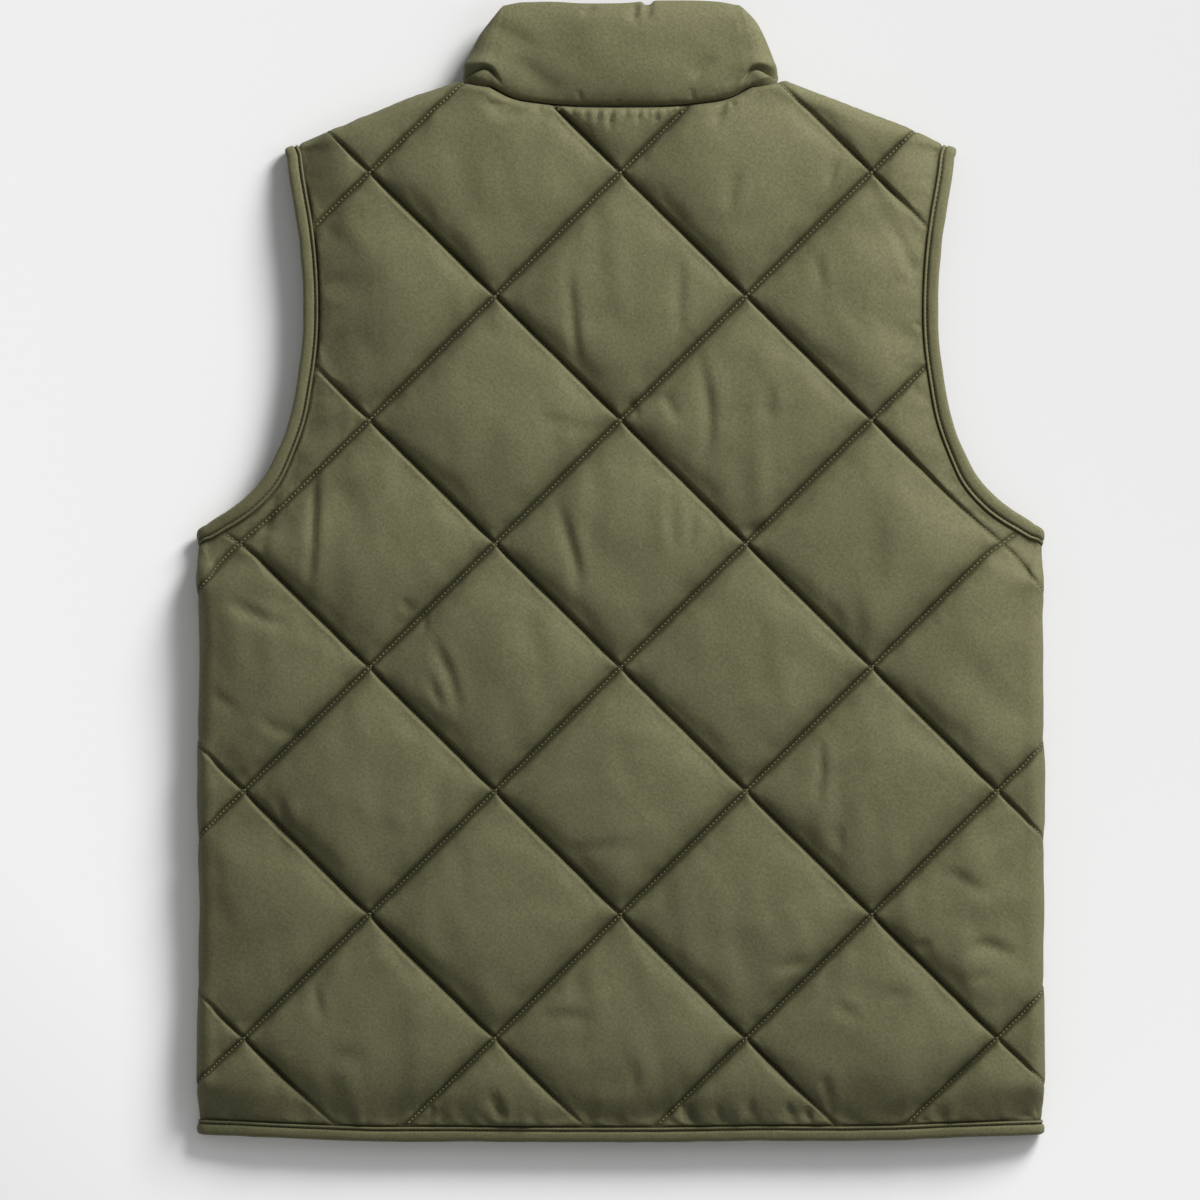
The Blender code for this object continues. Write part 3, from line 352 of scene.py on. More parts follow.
def fold_shift(cut, bound):
    """Distance past the nearer fold's axis, that fold's outward direction in plan, and how far the fold of
    a bound edge moves the cloth out."""
    side = abs(cut[:, 0]) - SIDE_AXIS
    sign = np.sign(cut[:, 0] + 1e-9)[:, None]
    right = cut * np.hstack([sign, np.ones_like(sign)])
    shoulder = (right - SHOULDER_AXIS) @ ACROSS
    high = cut[:, 1] > SHOULDER_FROM
    past = np.where(high, shoulder, side)
    out = np.where(high[:, None], ACROSS, (1.0, 0.0)) * np.hstack([sign, np.ones_like(sign)])
    near = 1 - ease(-past / FOLD_EASE)
    moved = (REACH - REACH_BOUND) * bound * near
    return past, out, moved


def fold_share(past):
    """0 on the flat, 1 in the middle of a fold."""
    return np.sin(np.clip(past / ARC, 0, 1) * math.pi)


def back_place(cut, bound):
    """Inside of the back: points of the cut carried to their place, and the directions out of the cloth."""
    past, out, moved = fold_shift(cut, bound)
    radius = mix(INNER_RADIUS, INNER_RADIUS_BOUND, bound)
    centre = mix(REACH, REACH_BOUND, bound)
    turn = np.clip(past / ARC, 0, 1) * math.pi
    under = np.clip(past - ARC, 0, None)
    plan = cut + out * (moved - np.clip(past, 0, None) + radius * np.sin(turn) - under)[:, None]
    by_fold = np.clip(1 + past / FOLD_EASE, 0, 1) ** 2
    droop = HEM_DROOP * np.clip(HEM_DROOP_FROM - (cut[:, 1] - HEM_Y), 0, None)
    level = mix(mix(BACK_LEVEL, BACK_EDGE_LEVEL, bound) - droop, centre + radius, by_fold)
    z = np.where(past > 0, centre + radius * np.cos(turn), level)
    normal = np.column_stack([out * np.sin(turn)[:, None], np.cos(turn)])
    return np.column_stack([plan, z]), normal


def to_cut(plan):
    """Cut of points given in plan on the bound edge of the back."""
    cut = plan.copy()
    for _ in range(20):
        cut += plan - back_place(cut, np.ones(len(cut)))[0][:, :2]
    return cut


def back_edges():
    """Edges of the back's right half in the cut, in turn: hem, side seam, armhole, shoulder seam, neck seam."""
    fold = ARC * np.arange(13) / 12
    flat = ARC + SEAM_INBOARD * np.arange(1, 4) / 3
    round_and_flat = np.concatenate([fold, flat])
    seam_x = SIDE_AXIS + UNDER_END
    s = np.concatenate([np.linspace(0, SIDE_AXIS, 76)[:-1], SIDE_AXIS + round_and_flat])
    hem = np.column_stack([s, np.full(len(s), HEM_Y + BINDING_REACH)])
    y = np.linspace(hem[0, 1], UNDERARM_Y, 112)
    side = np.column_stack([np.full(len(y), seam_x), y])
    turn = np.column_stack([SIDE_AXIS + fold, np.interp(fold, *(UNDERARM_FOLD * MM).T)])
    tip = (SHOULDER_TIP - SHOULDER_AXIS) @ ALONG - BINDING_REACH
    over = shoulder_point(np.full(len(round_and_flat), tip), round_and_flat)
    curve = np.vstack([over[:1], to_cut(np.array(BACK_ARMHOLE) * MM), turn[:1]])[::-1]
    ends = side[-1:] + np.outer([0, 1 / 3, 2 / 3], turn[-1] - side[-1])
    armhole = np.vstack([ends, turn[::-1], smooth_line(curve, EDGE_STEP)[1:-1], over])
    along = np.linspace(tip, NECK_FOLD[-1, 0] * MM, 36)
    shoulder = shoulder_point(along, np.full(len(along), UNDER_END))
    across = round_and_flat[::-1]
    neck_over = shoulder_point(np.interp(across, NECK_FOLD[:, 1] * MM, NECK_FOLD[:, 0] * MM), across)
    level = np.vstack([np.array(BACK_NECK) * MM, neck_over[-1:]])[::-1]
    neck = np.vstack([neck_over, smooth_line(level, EDGE_STEP)[1:]])
    return hem, side, armhole, shoulder, neck


HEM, SIDE, ARMHOLE, SHOULDER, NECK = back_edges()
WHOLE_HEM = np.vstack([mirrored(HEM), HEM[1:]])
WHOLE_NECK = np.vstack([NECK, mirrored(NECK)[1:]])
BOUND_LINES = WHOLE_HEM, ARMHOLE, mirrored(ARMHOLE)
FLAT_SEAMS = SIDE, mirrored(SIDE), SHOULDER, mirrored(SHOULDER)
SEWN_LINES = *FLAT_SEAMS, WHOLE_NECK


def bound_share(from_edge):
    """1 where the binding presses the cloth, easing to 0 inside it."""
    return 1 - ease((from_edge - CRUSHED) / EDGE_EASE)


def back_surface(cut):
    """Inside, direction out of the cloth and wall of the back."""
    from_edge = distance(cut, *BOUND_LINES)
    bound = bound_share(from_edge)
    place, normal = back_place(cut, bound)
    past = fold_shift(cut, bound)[0]
    near = np.clip(1 + past / WALL_EASE, 0, 1) ** 2
    stand = filled(cut)
    line_wall = mix(FOLD_TOP_WALL, FOLD_WALL, ease(fold_share(past)))
    full = mix(STITCHED_WALL + PUFF_HEIGHT * stand, mix(line_wall, REACH - INNER_RADIUS, stand), near)
    rise = mix(read(EDGE_RISE, from_edge - CRUSHED), 1 - bound, near)
    rise *= rounded(distance(cut, *FLAT_SEAMS) / SEAM_ROUND) * rounded(distance(cut, WHOLE_NECK) / NECK_ROUND)
    return place, normal, mix(SEWN_WALL, full, rise)


# A front


def front_edges():
    """Edges of the right front in plan, in turn: hem, side seam, armhole, shoulder seam, neck seam, zip edge."""
    side = back_place(SIDE, bound_share(distance(SIDE, *BOUND_LINES)))[0][:, :2] - (SEAM_GAP, 0)
    shoulder = back_place(SHOULDER, bound_share(distance(SHOULDER, *BOUND_LINES)))[0][:, :2] - SEAM_GAP * ACROSS
    x = np.linspace(ZIP_HALF_GAP, side[0, 0], 70)
    hem = np.column_stack([x, np.full(len(x), side[0, 1])])
    curve = np.vstack([side[-1:], np.array(FRONT_ARMHOLE) * MM, shoulder[:1] - ARMHOLE_LEAD * ACROSS, shoulder[:1]])
    armhole = smooth_line(curve, EDGE_STEP)
    neck = smooth_line(np.vstack([shoulder[-1:], np.array(FRONT_NECK) * MM]), EDGE_STEP)
    y = np.linspace(neck[-1, 1], hem[0, 1], 173)
    zip_edge = np.column_stack([np.full(len(y), ZIP_HALF_GAP), y])
    return hem, side, armhole, shoulder, neck, zip_edge


FRONT_EDGES = front_edges()


def front_level(plan):
    hem, side, armhole, shoulder, _, _ = FRONT_EDGES
    seam = 1 - ease(distance(plan, side, shoulder) / FOLD_EASE)
    by_zip = 1 - ease((plan[:, 0] - ZIP_FLAT) / ZIP_EASE)
    bound = bound_share(distance(plan, hem, armhole))
    level = mix(mix(FRONT_LEVEL, FRONT_SEAM_LEVEL, seam), FRONT_ZIP_LEVEL, by_zip)
    return mix(level, FRONT_EDGE_LEVEL, bound)


def front_surface(plan):
    """Inside, direction out of the cloth and wall of the right front, whose puffs end on the surface."""
    hem, side, armhole, shoulder, neck, zip_edge = FRONT_EDGES
    level = front_level(plan)
    stand = puff(plan, FLAT_PUFF_ROUND)
    rise = rounded((distance(plan, hem, armhole) - CRUSHED) / EDGE_ROUND)
    rise *= rounded(distance(plan, side, shoulder, neck, zip_edge) / SEAM_ROUND)
    wall = mix(SEWN_WALL, level, rise * mix(FLAT_PUFF_LEAST, 1, stand))
    down = np.tile((0.0, 0.0, -1.0), (len(plan), 1))
    return np.column_stack([plan, level]), down, wall


# Creases: points on each in mm, half its width and its depth in mm, and its steep side, 1 the left or -1 the right
BACK_CREASES = [
    ([(-33, 206), (-33, 190), (-31, 168), (-28, 136), (-27, 126)], 4.4, 1.5, 1),
    ([(40, 210), (37.8, 186), (38.2, 160), (41, 148)], 5.0, 1.1, 1),
    ([(46, 148), (53, 130), (57, 110), (57, 86), (51, 66)], 5.0, 1.7, 1),
    ([(26, 119), (31, 108), (39, 95)], 3.4, 1.1, -1),
    ([(-46, 50), (-38, 36), (-31, 14), (-28, -4), (-31, -18)], 4.6, 1.8, 1),
    ([(35, 58), (32.5, 40), (33, 22), (37, 8)], 4.4, 1.0, -1),
    ([(45.7, 48), (46.5, 32), (43.7, 12)], 4.0, 0.9, 1),
    ([(5, 113), (9.3, 106), (13, 99)], 2.6, 1.0, 1),
    ([(-198, 76), (-198.5, 56), (-198.8, 33), (-199.5, 10), (-203, -16)], 3.8, 2.2, 1),
    ([(-220, 62), (-224, 48), (-229, 30), (-233, 2)], 3.4, 1.4, 1),
    ([(-242, 42), (-246, 34), (-250, 24)], 3.0, 1.0, 1),
    ([(-144, -17), (-139, -22), (-133, -28)], 3.0, 1.4, -1),
    ([(-128, -24), (-126.5, -40)], 2.8, 1.1, 1),
    ([(-126, -36), (-117, -52), (-110, -68), (-105.5, -86), (-104, -98)], 4.4, 1.6, 1),
    ([(-127, -62), (-121, -74), (-114, -92)], 3.6, 1.1, 1),
    ([(-264, -24), (-252, -21), (-238, -27), (-226, -32), (-208, -32)], 4.4, 1.7, 1),
    ([(-268, -76), (-258, -83), (-246, -91)], 4.0, 1.0, 1),
    ([(-240, -92), (-226, -101), (-210, -108), (-200, -109)], 4.0, 1.2, -1),
    ([(-221, -142), (-219, -156), (-215, -172)], 5.0, 1.1, 1),
    ([(69, 230), (72, 246), (78, 264)], 5.4, 1.1, -1),
    ([(133, 248), (137, 259), (143, 269)], 3.2, 1.4, -1),
    ([(127, 210), (129, 193), (133, 178)], 4.6, 0.9, 1),
    ([(172, 232), (181, 213), (188, 196), (192, 182)], 4.4, 1.5, -1),
    ([(200, 158), (188, 161)], 2.4, 1.0, 1),
    ([(99, 124), (96, 110), (94, 94)], 5.6, 1.1, 1),
    ([(-198.5, -262), (-196.5, -277), (-192, -293)], 4.2, 1.2, 1),
    ([(-194, -309), (-178, -314), (-162, -308)], 8.0, 1.3, 1),
    ([(-85, -334), (-80, -345), (-74, -357)], 4.0, 2.2, 1),
    ([(-122.5, -343), (-122.5, -354), (-123, -361)], 2.6, 1.3, 1),
    ([(8, -316), (9, -327), (8, -340)], 4.2, 0.9, 1),
    ([(43.5, -342), (46, -352), (50, -361)], 3.0, 1.9, 1),
    ([(38.5, -340), (40.5, -350), (42, -360)], 2.4, 1.1, -1),
    ([(31, -348), (33, -360)], 2.2, 1.1, 1),
    ([(62.5, -345), (68, -360)], 2.8, 1.4, 1),
    ([(83, -339), (85, -356)], 3.6, 1.1, 1),
    ([(126, -100), (129.5, -114), (130, -130), (129, -146), (131, -160)], 4.4, 1.7, 1),
    ([(142, -162), (140, -184)], 4.6, 1.3, 1),
    ([(203, -193), (216, -196), (230, -204), (246, -211)], 4.6, 1.2, 1),
    ([(218, -252), (226, -245), (236, -241.5), (248, -245), (262, -252)], 4.4, 1.7, 1),
    ([(221, -269), (230, -263), (242, -259)], 3.8, 1.3, 1),
    ([(168, -271), (178, -273.5), (188, -271)], 5.0, 1.0, 1),
    ([(135, -276), (146, -284), (158, -290)], 4.8, 1.2, 1),
    ([(107.5, -343), (112, -356)], 2.8, 1.2, 1),
    ([(120, -347), (124.5, -361)], 2.8, 1.3, 1),
    ([(130, -322), (134, -336), (137, -350)], 4.2, 1.3, 1),
    ([(92, -259), (108, -255.5), (126, -252)], 5.0, 1.2, -1),
    ([(190, -245), (202, -239)], 3.6, 1.1, 1),
    ([(-60, 96), (-44, 98), (-26, 93), (-12, 96)], 5.0, 0.9, 1),
    ([(12, 116), (26, 113), (40, 116)], 5.0, 0.8, 1),
    ([(70, 29), (90, 27), (112, 30)], 5.0, 1.0, 1),
    ([(-40, -176), (-22, -180), (0, -177), (18, -180)], 5.4, 1.0, 1),
    ([(-60, -290), (-36, -287), (-12, -291)], 5.4, 1.1, 1),
]
# The same on the collar, in plan
COLLAR_CREASES = [
    ([(-80, 338), (-62, 327), (-46, 315), (-34, 303)], 8.0, 1.1, 1),
    ([(-94, 360), (-70, 347), (-48, 335)], 9.0, 1.3, 1),
    ([(12, 372), (9.6, 364), (7, 354)], 3.4, 3.2, 1),
    ([(22, 368.5), (14, 361), (8, 353)], 2.6, 1.6, -1),
    ([(-27, 362), (-21, 366), (-14, 369)], 3.0, 1.4, 1),
    ([(44, 317), (53, 327), (64, 335)], 5.0, 1.5, -1),
    ([(60, 306), (72, 309), (84, 316)], 4.0, 1.4, 1),
    ([(-28, 314), (-26.5, 309), (-25, 304)], 1.8, 0.8, 1),
    ([(-2, 307), (-1, 303)], 1.6, 0.6, 1),
    ([(34, 307), (35, 303)], 1.6, 0.6, 1),
    ([(46, 315), (46.4, 309), (46, 304)], 1.9, 0.9, 1),
]
# And below the neck seam, on the back's cut
NECK_GATHERS = [
    ([(-52, 304), (-53.5, 297)], 1.4, 0.9, 1),
    ([(-40, 303), (-41, 296.5)], 1.3, 0.8, -1),
    ([(-31, 303), (-32.5, 295)], 1.5, 1.1, 1),
    ([(-21.5, 302.5), (-23, 291)], 1.6, 1.5, 1),
    ([(-13, 302.5), (-15.5, 289)], 1.8, 1.8, 1),
    ([(-5, 302.5), (-7.5, 286)], 2.0, 1.9, 1),
    ([(4, 302.5), (3.2, 293)], 1.4, 1.1, 1),
    ([(12.5, 302.5), (11, 290)], 1.5, 1.6, 1),
    ([(18, 302.5), (17, 293)], 1.2, 1.3, 1),
    ([(24, 302.5), (23, 290)], 1.4, 1.6, 1),
    ([(30, 302.5), (29.4, 294)], 1.1, 1.5, 1),
    ([(34, 302.5), (33.6, 295)], 1.1, 1.5, 1),
    ([(38, 303), (37.8, 295)], 1.1, 1.5, 1),
    ([(43, 303.4), (42.6, 295.5)], 1.2, 1.3, 1),
    ([(69, 306), (65.5, 298), (60, 288)], 3.0, 2.0, 1),
    ([(74, 306.5), (72.5, 299)], 1.6, 1.3, 1),
    ([(-58, 300), (-74, 296), (-90, 299)], 4.0, 1.7, 1),
    ([(-66, 303.5), (-80, 301.5), (-94, 306)], 2.6, 1.2, 1),
]


CREASE_SIDES = 0.66, 1.05  # how wide its steep and its gentle side are, for a half width of 1
CREASE_CREST = 0.16, 1.5, 0.9  # height, place and width of the crest beyond its steep side
CREASE_FADE = 0.42  # share of its length over which each end fades
CREASE_VARIES = 0.3, 9 * MM  # how much its depth varies, and over what length
CREASE_STEP = 2 * MM


def crease_depth(points, creases):
    """How far the creases press in each point of a cut. Each is steep on one side, with a low crest beyond it, and
    gentle on the other."""
    total = np.zeros(len(points))
    steep, gentle = CREASE_SIDES
    high, place, wide = CREASE_CREST
    uneven, length = CREASE_VARIES
    for seed, (way, width, depth, steep_side) in enumerate(creases):
        line = smooth_line(np.array(way) * MM, CREASE_STEP)
        room = 5 * width * MM
        close = ((points > line.min(0) - room) & (points < line.max(0) + room)).all(1)
        if not close.any():
            continue
        off, along = beside(points[close], line)
        share = along / lengths_of(line)[-1]
        u = off * (1 if steep_side >= 0 else -1) / (width * MM)
        trough = np.exp(-np.where(u > 0, u / steep, u / gentle) ** 2)
        crest = high * np.exp(-(((u - place) / wide) ** 2))
        varied = 1 + uneven * noise(along / length, along * 0 + 0.5, 200 + seed)
        taper = ease(share / CREASE_FADE) * ease((1 - share) / CREASE_FADE) * varied
        total[close] += (trough - crest) * taper * depth * MM
    return total


# Soft folds over the puffs: their heading, their width, length and depth in mm. Their lines wander, and they come
# in patches.
SOFT_FOLDS = [(0.12, 12, 44, 0.5), (-0.22, 17, 60, 0.5), (1.66, 13, 40, 0.32)]
FOLD_WANDER = 6, 25, 45  # mm sideways, over mm along and mm across
FOLD_PATCH, PATCH_EDGE = (50, 43), (1.4, 0.45)  # size in mm, sharpness of their edge and its level
FOLDS_BY_LINE, FOLDS_BY_PUFF = 0.3, 0.7  # shares of their depth everywhere and with the rise of the puff


def wrinkles(cut, seed):
    """How deep the soft folds over the puffs press in each point of a cut."""
    x, y = cut.T / MM
    total = np.zeros(len(cut))
    aside, along, across = FOLD_WANDER
    for turn, wide, long, depth in SOFT_FOLDS:
        p, q = x * math.cos(turn) + y * math.sin(turn), y * math.cos(turn) - x * math.sin(turn)
        p = p + aside * noise(q / along, p / across, seed + 5)
        patch = ease(noise(x / FOLD_PATCH[0], y / FOLD_PATCH[1], seed + 1) * PATCH_EDGE[0] + PATCH_EDGE[1])
        total += patch * depth * noise(p / wide, q / long, seed)
        seed += 2
    return total * MM


LINE_PUCKERS, FRONT_LINE_PUCKERS = 0.55 * MM, 0.4 * MM  # their height on the back and on the fronts
PUCKER_PITCH, PUCKER_START, PUCKER_REACH, PUCKER_CHANGE = 5.5 * MM, 1.5 * MM, 8 * MM, 26 * MM
PUCKER_ROWS = 7.3, 3.4  # steps in the noise from line to line and from side to side


def line_puckers(cut, height, seed):
    """Small gathers that run away from each stitch line."""
    total = np.zeros(len(cut))
    for family, (off, number, along) in enumerate(quilt_lines(cut)):
        far = abs(off)
        row = number * PUCKER_ROWS[0] + np.where(off > 0, 0, PUCKER_ROWS[1]) + far / PUCKER_CHANGE
        wave = noise(along / PUCKER_PITCH, row, seed + family)
        total += wave * (1 - np.exp(-far / PUCKER_START)) * np.exp(-far / PUCKER_REACH)
    return total * height


# Gathers along an edge: their pitch, how far they reach and how high they stand, in mm
HEM_GATHERS, FRONT_HEM_GATHERS = (6, 9, 2.1), (7, 7, 0.6)
ARMHOLE_GATHERS, ZIP_GATHERS = (8, 6, 0.5), (6, 7, 0.6)
NECK_SEAM_GATHERS, COLLAR_GATHERS = (5, 7, 0.9), (7, 7, 0.7)
LET_GO = 1.2 * MM  # over which they start
GATHER_CHANGE, GATHER_POWER = 3, 1.3  # how far they keep their place, a unit of their reach, and how sharp they are


def edge_puckers(cut, line, start, gathers, seed):
    """Small gathers that run away from an edge, from where its binding or seam lets go of the cloth."""
    pitch, reach, height = np.array(gathers) * MM
    off, along = beside(cut, line)
    far = np.clip(abs(off) - start, 0, None)
    wave = noise(along / pitch, far / (GATHER_CHANGE * reach), seed)
    sharp = np.sign(wave) * abs(wave) ** GATHER_POWER
    return sharp * (1 - np.exp(-far / LET_GO)) * np.exp(-far / reach) * height


# Lumps of the filling, in mm: size of the broad ones, width, lean and length of the local ones, how high both stand
BROAD_LUMPS, LOCAL_LUMPS, LUMP_HEIGHTS = 62, (27, 0.2, 31), (1.5, 0.8)


def unevenness(cut, stand, seed):
    """How the filling lies thicker and thinner in the puffs."""
    x, y = cut.T
    wide, lean, long = LOCAL_LUMPS
    broad = noise(x / (BROAD_LUMPS * MM), y / (BROAD_LUMPS * MM), seed)
    local = noise(x / (wide * MM) + lean * y / MM / wide, y / (long * MM), seed + 1)
    return stand * (broad * LUMP_HEIGHTS[0] + local * LUMP_HEIGHTS[1]) * MM


# How much fuller a fold is in its middle near a bound edge, how far from that edge this starts to fade, over how much
FOLD_SWELL, SWELL_FROM, SWELL_EASE = 1.2 * MM, 20 * MM, 40 * MM
FOLD_CALM, FOLD_CALM_EASE = 0.6, 20 * MM  # how much of the lumps is lost on a fold
CREASES_SHARE, GATHERS_SHARE, WRINKLES_SHARE = 1.35, 1.2, 1.7
# Over how much the relief starts beside a binding and beside a seam, on the back and on the fronts
RELIEF_STARTS, FRONT_RELIEF_STARTS = (3.5 * MM, 3 * MM), (6 * MM, 4 * MM)


def back_relief(cut):
    """What is added to the wall of the back, out of the cloth."""
    stand = filled(cut)
    from_edge = distance(cut, *BOUND_LINES)
    past = fold_shift(cut, np.zeros(len(cut)))[0]
    by_binding, by_seam = RELIEF_STARTS
    free = rounded((from_edge - CRUSHED) / by_binding) * rounded(distance(cut, *SEWN_LINES) / by_seam)
    raised = unevenness(cut, stand, 11) * (1 - FOLD_CALM * ease(past / FOLD_CALM_EASE + 0.5))
    raised += line_puckers(cut, LINE_PUCKERS, 23)
    for seed, line, start, gathers in ((31, WHOLE_HEM, CRUSHED, HEM_GATHERS), (37, ARMHOLE, CRUSHED, ARMHOLE_GATHERS),
                                       (41, mirrored(ARMHOLE), CRUSHED, ARMHOLE_GATHERS),
                                       (43, WHOLE_NECK, 0, NECK_SEAM_GATHERS)):
        raised += edge_puckers(cut, line, start, gathers, seed)
    raised += FOLD_SWELL * fold_share(past) * (1 - ease((from_edge - SWELL_FROM) / SWELL_EASE))
    shown = crease_depth(cut, BACK_CREASES) + GATHERS_SHARE * crease_depth(cut, NECK_GATHERS)
    folds = WRINKLES_SHARE * wrinkles(cut, 51) * (FOLDS_BY_LINE + FOLDS_BY_PUFF * stand)
    return free * (raised - CREASES_SHARE * shown - folds)


def scattered_creases(count, low, high, seed):
    """The fronts' creases: uneven in length, depth and spacing, pressed nearly flat by the vest's weight."""
    random = np.random.default_rng(seed)
    found = []
    for _ in range(count):
        start = random.uniform(low, high)
        heading = random.normal(math.pi / 2, 0.5)
        length = random.uniform(14, 46)
        step = length / 2 * np.array([math.cos(heading), math.sin(heading)])
        bend = random.uniform(-0.2, 0.2) * np.array([-step[1], step[0]])
        way = [start, start + step + bend, start + 2 * step]
        found.append((way, random.uniform(2.2, 4.5), random.uniform(0.5, 1.5), random.uniform(-0.6, 0.6)))
    return found


FRONT_CREASES = scattered_creases(34, (15, -345), (235, 210), 61)
PRESSED_LUMPS, PRESSED_LOSS = 0.4, 0.7  # share of the lumps' height on the fronts, and how much a puff loses of it


def front_relief(plan, seed):
    hem, side, armhole, shoulder, neck, zip_edge = FRONT_EDGES
    stand = puff(plan, FLAT_PUFF_ROUND)
    by_binding, by_seam = FRONT_RELIEF_STARTS
    free = rounded((distance(plan, hem, armhole) - CRUSHED) / by_binding)
    free *= rounded(distance(plan, side, shoulder, neck, zip_edge) / by_seam)
    raised = line_puckers(plan, FRONT_LINE_PUCKERS, seed + 3)
    for more, line, start, gathers in ((5, hem, CRUSHED, FRONT_HEM_GATHERS), (7, armhole, CRUSHED, ARMHOLE_GATHERS),
                                       (9, zip_edge, 0, ZIP_GATHERS)):
        raised += edge_puckers(plan, line, start, gathers, seed + more)
    raised -= (1 - PRESSED_LOSS * stand) * abs(unevenness(plan, 1, seed + 11)) * PRESSED_LUMPS
    return free * (raised - crease_depth(plan, FRONT_CREASES))


# Nets


def triangulated(loop, points):
    """Triangles of the region in a loop over its corners and its loose points."""
    verts = np.vstack([loop, points])
    found = delaunay_2d_cdt([tuple(v) for v in verts], [], [list(range(len(loop)))], 1, 1e-7)
    new_verts, _, faces, origin, _, _ = found
    first = [sources[0] if sources else -1 for sources in origin]
    assert -1 not in first and len(new_verts) == len(verts), (len(new_verts), len(verts))
    return verts, np.array([tuple(first[i] for i in face) for face in faces])


def quilt_grid(low, high, middle):
    """Points on lines that run beside the stitch lines, dense near them."""
    between = np.linspace(NEAR_LINE[-1], LINE_SPACING - NEAR_LINE[-1], middle)
    offsets = np.concatenate([NEAR_LINE, between[1:], LINE_SPACING - NEAR_LINE[-2:0:-1]]) / LINE_SPACING
    lines = np.concatenate([k + offsets for k in range(-MOST_LINES, MOST_LINES)])
    a, b = (grid.ravel() for grid in np.meshgrid(lines, lines))
    points = np.column_stack([(a + b) / 2 * DIAMOND_WIDTH, QUILT_NODE_Y + (a - b) / 2 * DIAMOND_HEIGHT])
    return points[((points >= low) & (points <= high)).all(1)]


def edge_rows(lines, depths, loop, others):
    """Points inside each line at several depths, clear of the other edges."""
    rows = []
    for line in lines:
        for depth in depths:
            row = line + depth * left_normals(line)
            row = row[inside(row, loop)]
            row = row[distance(row, line) >= depth * 0.98]
            rows.append(row[distance(row, *(other for other in others if other is not line)) >= ROW_ROOM])
    return np.vstack(rows)


def thinned(points, least):
    """The points with each one dropped that is nearer than least to an earlier one."""
    cells, kept = {}, []
    for i, (x, y) in enumerate(points):
        cx, cy = int(x // least), int(y // least)
        near = [j for p in (-1, 0, 1) for q in (-1, 0, 1) for j in cells.get((cx + p, cy + q), ())]
        if all((points[j, 0] - x) ** 2 + (points[j, 1] - y) ** 2 >= least * least for j in near):
            cells.setdefault((cx, cy), []).append(i)
            kept.append(i)
    return points[kept]


def outer_net(loop, bound, sewn, middle):
    """A net for the outside of a quilted panel: along its stitch lines, its bound edges and its seams."""
    grid = quilt_grid(loop.min(0), loop.max(0), middle)
    grid = grid[inside(grid, loop)]
    from_bound, from_sewn = distance(grid, *bound), distance(grid, *sewn)
    loose = (from_bound > LOOSE_FROM_BOUND) & (from_sewn > LOOSE_FROM_SEWN)
    by_line = (line_distance(grid) < LINE_BAND) & (from_bound > LINES_FROM_BOUND) & (from_sewn > LINES_FROM_SEWN)
    grid = grid[loose | by_line]
    seams = edge_rows(sewn, SEWN_ROWS, loop, (*bound, *sewn))
    rows = np.vstack([edge_rows(bound, BOUND_ROWS, loop, (*bound, *sewn)), seams[distance(seams, *bound) > CRUSHED]])
    in_the_way = (line_distance(rows) < ROWS_FROM_LINE) & (distance(rows, *bound) > ROWS_YIELD_FROM)
    return triangulated(loop, np.vstack([grid, thinned(rows[~in_the_way], POINT_ROOM)]))


def inner_net(loop):
    x, y = (np.arange(a, b, INNER_SPACING) for a, b in zip(loop.min(0), loop.max(0)))
    grid = np.stack(np.meshgrid(x, y), axis=-1).reshape(-1, 2)
    grid = grid[inside(grid, loop)]
    return triangulated(loop, grid[distance(grid, np.vstack([loop, loop[:1]])) > INNER_ROOM])


def wall_net(loop, outer, inner):
    """One closed net from two of the same loop: its points in the cut, 1 outside or 0 inside, and triangles."""
    (outer_points, outer_faces), (inner_points, inner_faces) = outer, inner
    base, count = len(outer_points), len(loop)
    i = np.arange(count)
    j = (i + 1) % count
    rim = np.vstack([np.column_stack([i, base + i, base + j]), np.column_stack([i, base + j, j])])
    faces = np.vstack([outer_faces, base + inner_faces[:, ::-1], rim])
    side = np.concatenate([np.ones(base), np.zeros(len(inner_points))])
    return np.vstack([outer_points, inner_points]), side, faces


def edges_of(faces):
    return np.sort(np.vstack([faces[:, [0, 1]], faces[:, [1, 2]], faces[:, [2, 0]]]), axis=1)


def split(faces, *fields):
    """Each triangle made four; each field gains the means at the new points."""
    ends, where = np.unique(edges_of(faces), axis=0, return_inverse=True)
    a, b, c = faces.T
    ab, bc, ca = len(fields[0]) + where.reshape(3, -1)
    corners = [(a, ab, ca), (ab, b, bc), (ca, bc, c), (ab, bc, ca)]
    finer = np.vstack([np.column_stack(corner) for corner in corners])
    return finer, *(np.concatenate([field, field[ends].mean(1)]) for field in fields)


def smoothed(values, faces, held, turns):
    """Values eased towards their neighbours' mean, except where held."""
    ends = np.unique(edges_of(faces), axis=0)
    both = np.vstack([ends, ends[:, ::-1]])
    count = np.bincount(both[:, 0], minlength=len(values))[:, None]
    for _ in range(turns):
        total = np.zeros_like(values)
        np.add.at(total, both[:, 0], values[both[:, 1]])
        values = np.where(held[:, None], values, 0.5 * values + 0.5 * total / count)
    return values


# Objects


def hung(verts):
    """The points with the rise of the hem."""
    verts = np.array(verts, float)
    share = 1 - ease((verts[:, 1] - HEM_Y) / HEM_RISE_EASE)
    verts[:, 1] += share * np.interp(verts[:, 0], *(HEM_RISE * MM).T)
    return verts


